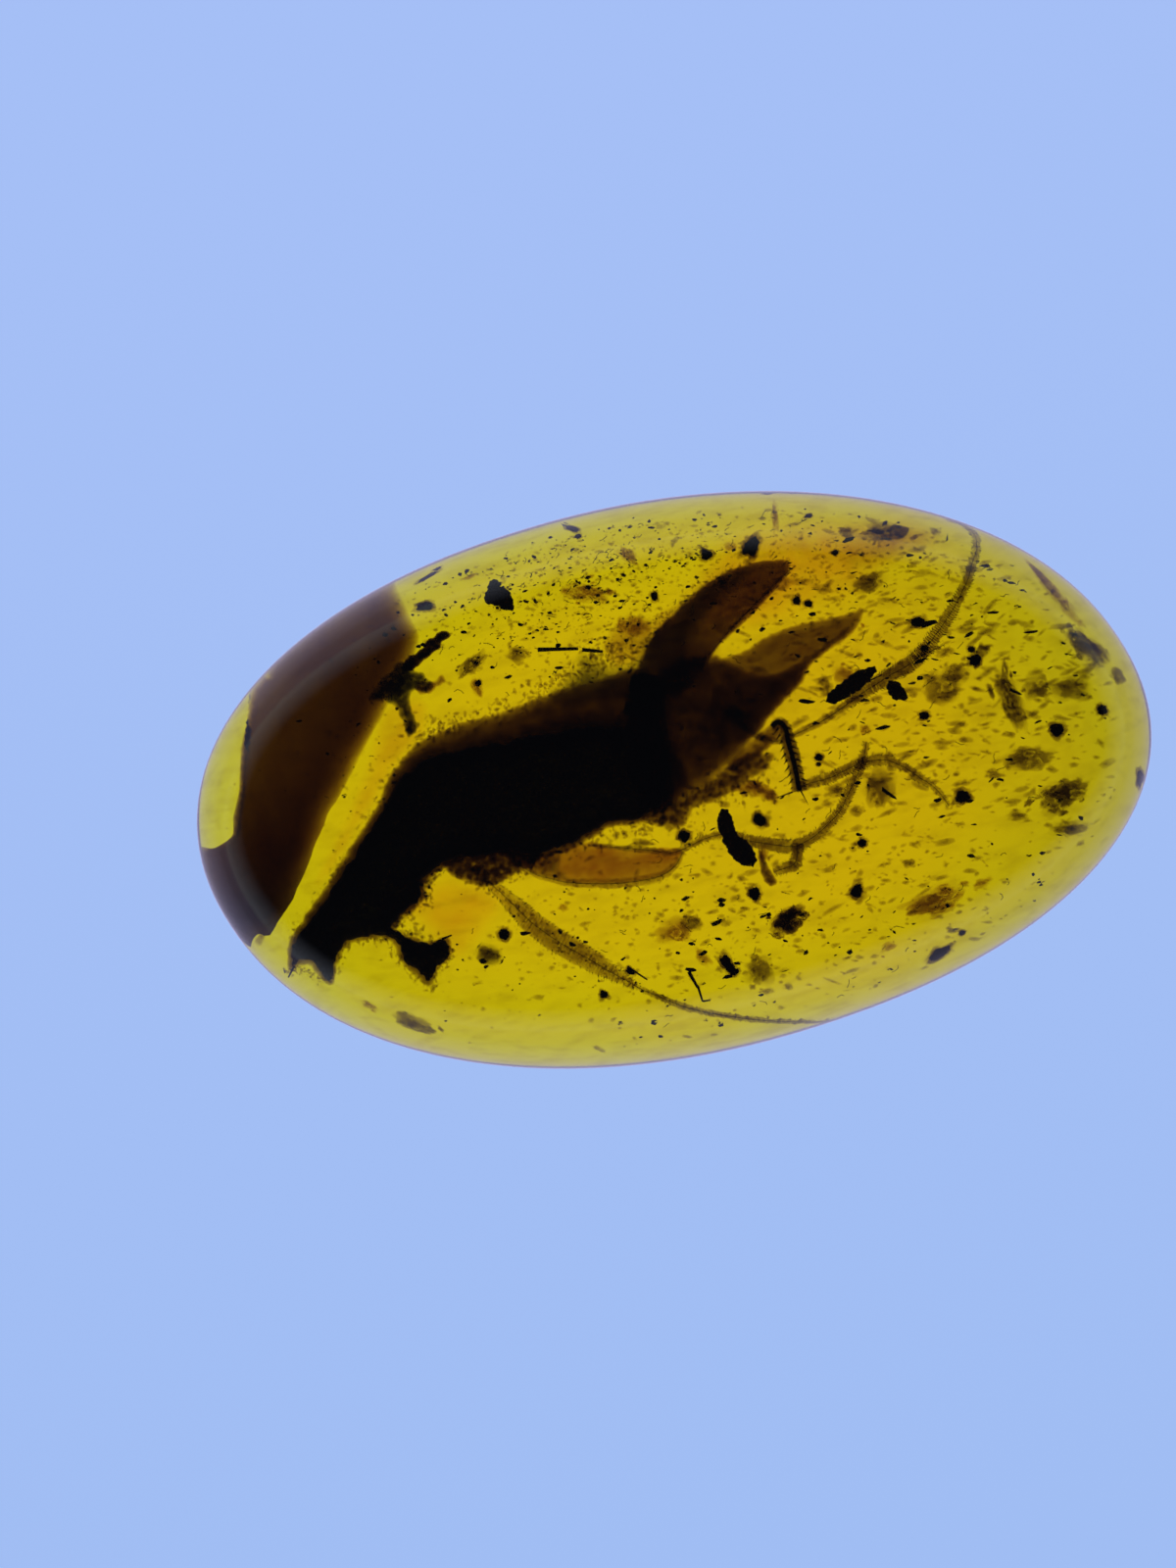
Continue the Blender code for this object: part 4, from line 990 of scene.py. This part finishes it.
sticks = [
    ((549, 664), (590, 663), 0.055), ((594, 664), (615, 666), 0.05), ((702, 990), (711, 1006), 0.05),
    ((711, 1004), (716, 1020), 0.035), ((716, 1020), (724, 1019), 0.03), ((640, 985), (660, 998), 0.03),
    ((873, 700), (897, 690), 0.02), ((452, 957), (462, 953), 0.03), ((302, 985), (296, 996), 0.03),
    ((404, 950), (396, 944), 0.03),
]
# Clouds of specks: middle and spread in pixels, count, size in mm, stretch, and how many let light through.
clouds = [
    {"middle": (560, 620), "spread": (85, 45), "count": 1100, "size": (0.03, 0.10), "stretch": 1.6, "clear": 0.8},
    {"middle": (690, 565), "spread": (100, 32), "count": 700, "size": (0.03, 0.09), "stretch": 1.5, "clear": 0.82},
    {"middle": (960, 720), "spread": (110, 100), "count": 1100, "size": (0.04, 0.15), "stretch": 2.6, "clear": 0.93},
    {"middle": (900, 590), "spread": (90, 45), "count": 600, "size": (0.04, 0.12), "stretch": 2.0, "clear": 0.9},
    {"middle": (840, 920), "spread": (140, 70), "count": 700, "size": (0.04, 0.13), "stretch": 1.8, "clear": 0.9},
    {"middle": (620, 960), "spread": (100, 50), "count": 420, "size": (0.03, 0.12), "stretch": 1.4, "clear": 0.85},
    {"middle": (225, 790), "spread": (10, 50), "count": 60, "size": (0.03, 0.06), "stretch": 1.0, "clear": 0.6},
    {"middle": (390, 780), "spread": (40, 60), "count": 200, "size": (0.03, 0.09), "stretch": 1.5, "clear": 0.7},
]
# Up to which level specks and threads are scattered.
scatterEdge, threadEdge = 0.94, 0.92
# Fine curled threads: middle and spread in pixels, count and length in mm.
threads = [
    ((560, 610), (90, 50), 130, (0.08, 0.25)), ((690, 565), (100, 30), 60, (0.08, 0.2)),
    ((900, 700), (140, 110), 90, (0.08, 0.3)), ((780, 930), (140, 60), 60, (0.08, 0.25)),
    ((400, 860), (40, 60), 30, (0.05, 0.15)),
]
# Soft clouds of redder or greener resin: finish, height, half thickness, reach and outline.
veils = {
    "farFlow": (orangeVeil, 1.6, 0.7, 1.2, [
        (690, 640), (720, 560), (800, 530), (900, 525), (966, 545), (945, 566), (905, 588), (870, 615), (830, 625),
        (760, 650)]),
    "farDusk": (duskVeil, 1.6, 0.5, 0.8, [
        (850, 560), (880, 538), (930, 532), (966, 546), (940, 566), (900, 584), (865, 588)]),
    "stripFlow": (orangeVeil, 2.3, 0.35, 0.4, [
        (392, 724), (420, 710), (440, 720), (436, 750), (405, 790), (380, 830), (350, 880), (330, 905), (312, 920),
        (330, 880), (355, 830), (375, 780)]),
    "headFlow": (orangeVeil, 2.4, 0.5, 0.8, [
        (400, 930), (430, 900), (470, 890), (520, 910), (500, 950), (470, 980), (430, 950)]),
    "greenSpot": (oliveCuticle, 1.3, 0.22, 0.3, [
        (488, 962), (500, 960), (512, 968), (514, 980), (500, 986), (488, 978)]),
}


# The room between base and crown at a place, less a margin.
def heightsAt(px, py, margin=0.12):
    x, y = atPixel(px, py, 1.5).xy
    return max(bellyHeight(x, y), 0.0) + margin, crownHeight(x, y) - margin


# A bit's place at the height nearest to z that has room for it, and its width and depth in mm.
def bitAt(px, py, wide, tall, z):
    low, high = heightsAt(px, py)
    return atPixel(px, py, min(max(z, low), max(high, low))), wide * view["pixel"], tall * view["pixel"]


def smallBits():
    bm, skins = bmesh.new(), bmesh.new()
    for seed, (px, py, wide, tall, turn, z) in enumerate(blackBits):
        place, wide, tall = bitAt(px, py, wide, tall, z)
        grain(bm, place, (wide * 0.8, tall * 0.8, min(wide, tall) * 0.45), turn, detail=3, rough=0.45, seed=seed)
        grain(skins, place, (wide * 1.25, tall * 1.25, min(wide, tall) * 0.7), turn, detail=3, rough=0.6, seed=seed,
              soft=0.9)
    finished("blackBits", bm, darkBark)
    finished("blackBitSkins", skins, barkMeal)
    dice = random.Random(9)
    for name, bits, material in (("oliveBits", oliveBits, oliveGrain), ("brownBits", brownBits, brownGrain)):
        bm = bmesh.new()
        for seed, (px, py, wide, tall, turn, z) in enumerate(bits):
            place, wide, tall = bitAt(px, py, wide, tall, z)
            crumb(bm, place, (wide, tall, min(wide, tall, 0.3)), turn, dice, lumps=5, detail=3, seed=seed)
        finished(name, bm, material)
    for name, (material, z, half, reach, outline) in flakes.items():
        bm = pillow({"outline": outline, "z": z, "half": half, "reach": reach, "power": 0.9, "cell": 0.03,
                     "ragged": 0.06, "lumps": (0.6, 0.15)})
        finished(name, bm, material)
    bm = bmesh.new()
    for start, end, radius in sticks:
        needle(bm, atPixel(*start, 1.9), atPixel(*end, 1.9), radius, radius * 0.7)
    finished("sticks", bm, darkBark)


def speckClouds():
    dice = random.Random(5)
    parts = {"blackSpecks": [], "brownSpecks": []}
    for cloud in clouds:
        for seed in range(cloud["count"]):
            if seed % 150 == 0:
                bms = {name: bmesh.new() for name in parts}
                for name, bm in bms.items():
                    parts[name].append(bm)
            px = dice.gauss(cloud["middle"][0], cloud["spread"][0])
            py = dice.gauss(cloud["middle"][1], cloud["spread"][1])
            if levelAt(*flatPlace(px, py)) > scatterEdge:
                continue
            low, high = heightsAt(px, py)
            size = cloud["size"][0] + (cloud["size"][1] - cloud["size"][0]) * dice.random() ** 2.5
            name = "brownSpecks" if dice.random() < cloud["clear"] else "blackSpecks"
            if name == "brownSpecks":
                size *= 1.3
            stretch = 1 + (cloud["stretch"] - 1) * dice.random() * 2
            grain(bms[name], atPixel(px, py, dice.uniform(low, high)), (size * stretch, size, size * 0.8),
                  dice.gauss(5, 18), detail=1, rough=0.7, seed=seed, soft=0.7 if name == "brownSpecks" else 0.5)
    finished("blackSpecks", joined(parts["blackSpecks"]), darkBark)
    finished("brownSpecks", joined(parts["brownSpecks"]), oliveGrain)


def curledThreads():
    dice = random.Random(31)
    bm = bmesh.new()
    for middle, spread, count, lengths in threads:
        for _ in range(count):
            px, py = dice.gauss(middle[0], spread[0]), dice.gauss(middle[1], spread[1])
            if levelAt(*flatPlace(px, py)) > threadEdge:
                continue
            low, high = heightsAt(px, py, 0.2)
            place = atPixel(px, py, dice.uniform(low, high))
            angle, length = dice.uniform(-40, 60), dice.uniform(*lengths)
            for _ in range(3):
                end = place + Vector((*turned(length / 3, 0, angle), 0))
                needle(bm, place, end, 0.009, 0.007)
                place, angle = end, angle + dice.uniform(-70, 70)
    finished("curledThreads", bm, darkBark)


smallBits()
speckClouds()
curledThreads()
for name, (material, z, half, reach, outline) in veils.items():
    veil = pillow({"outline": outline, "z": z, "half": half, "reach": reach, "power": 1.6, "cell": 0.09,
                   "lumps": (0.4, 0.4)})
    finished(name, veil, material)
print("bits, specks and veils made")
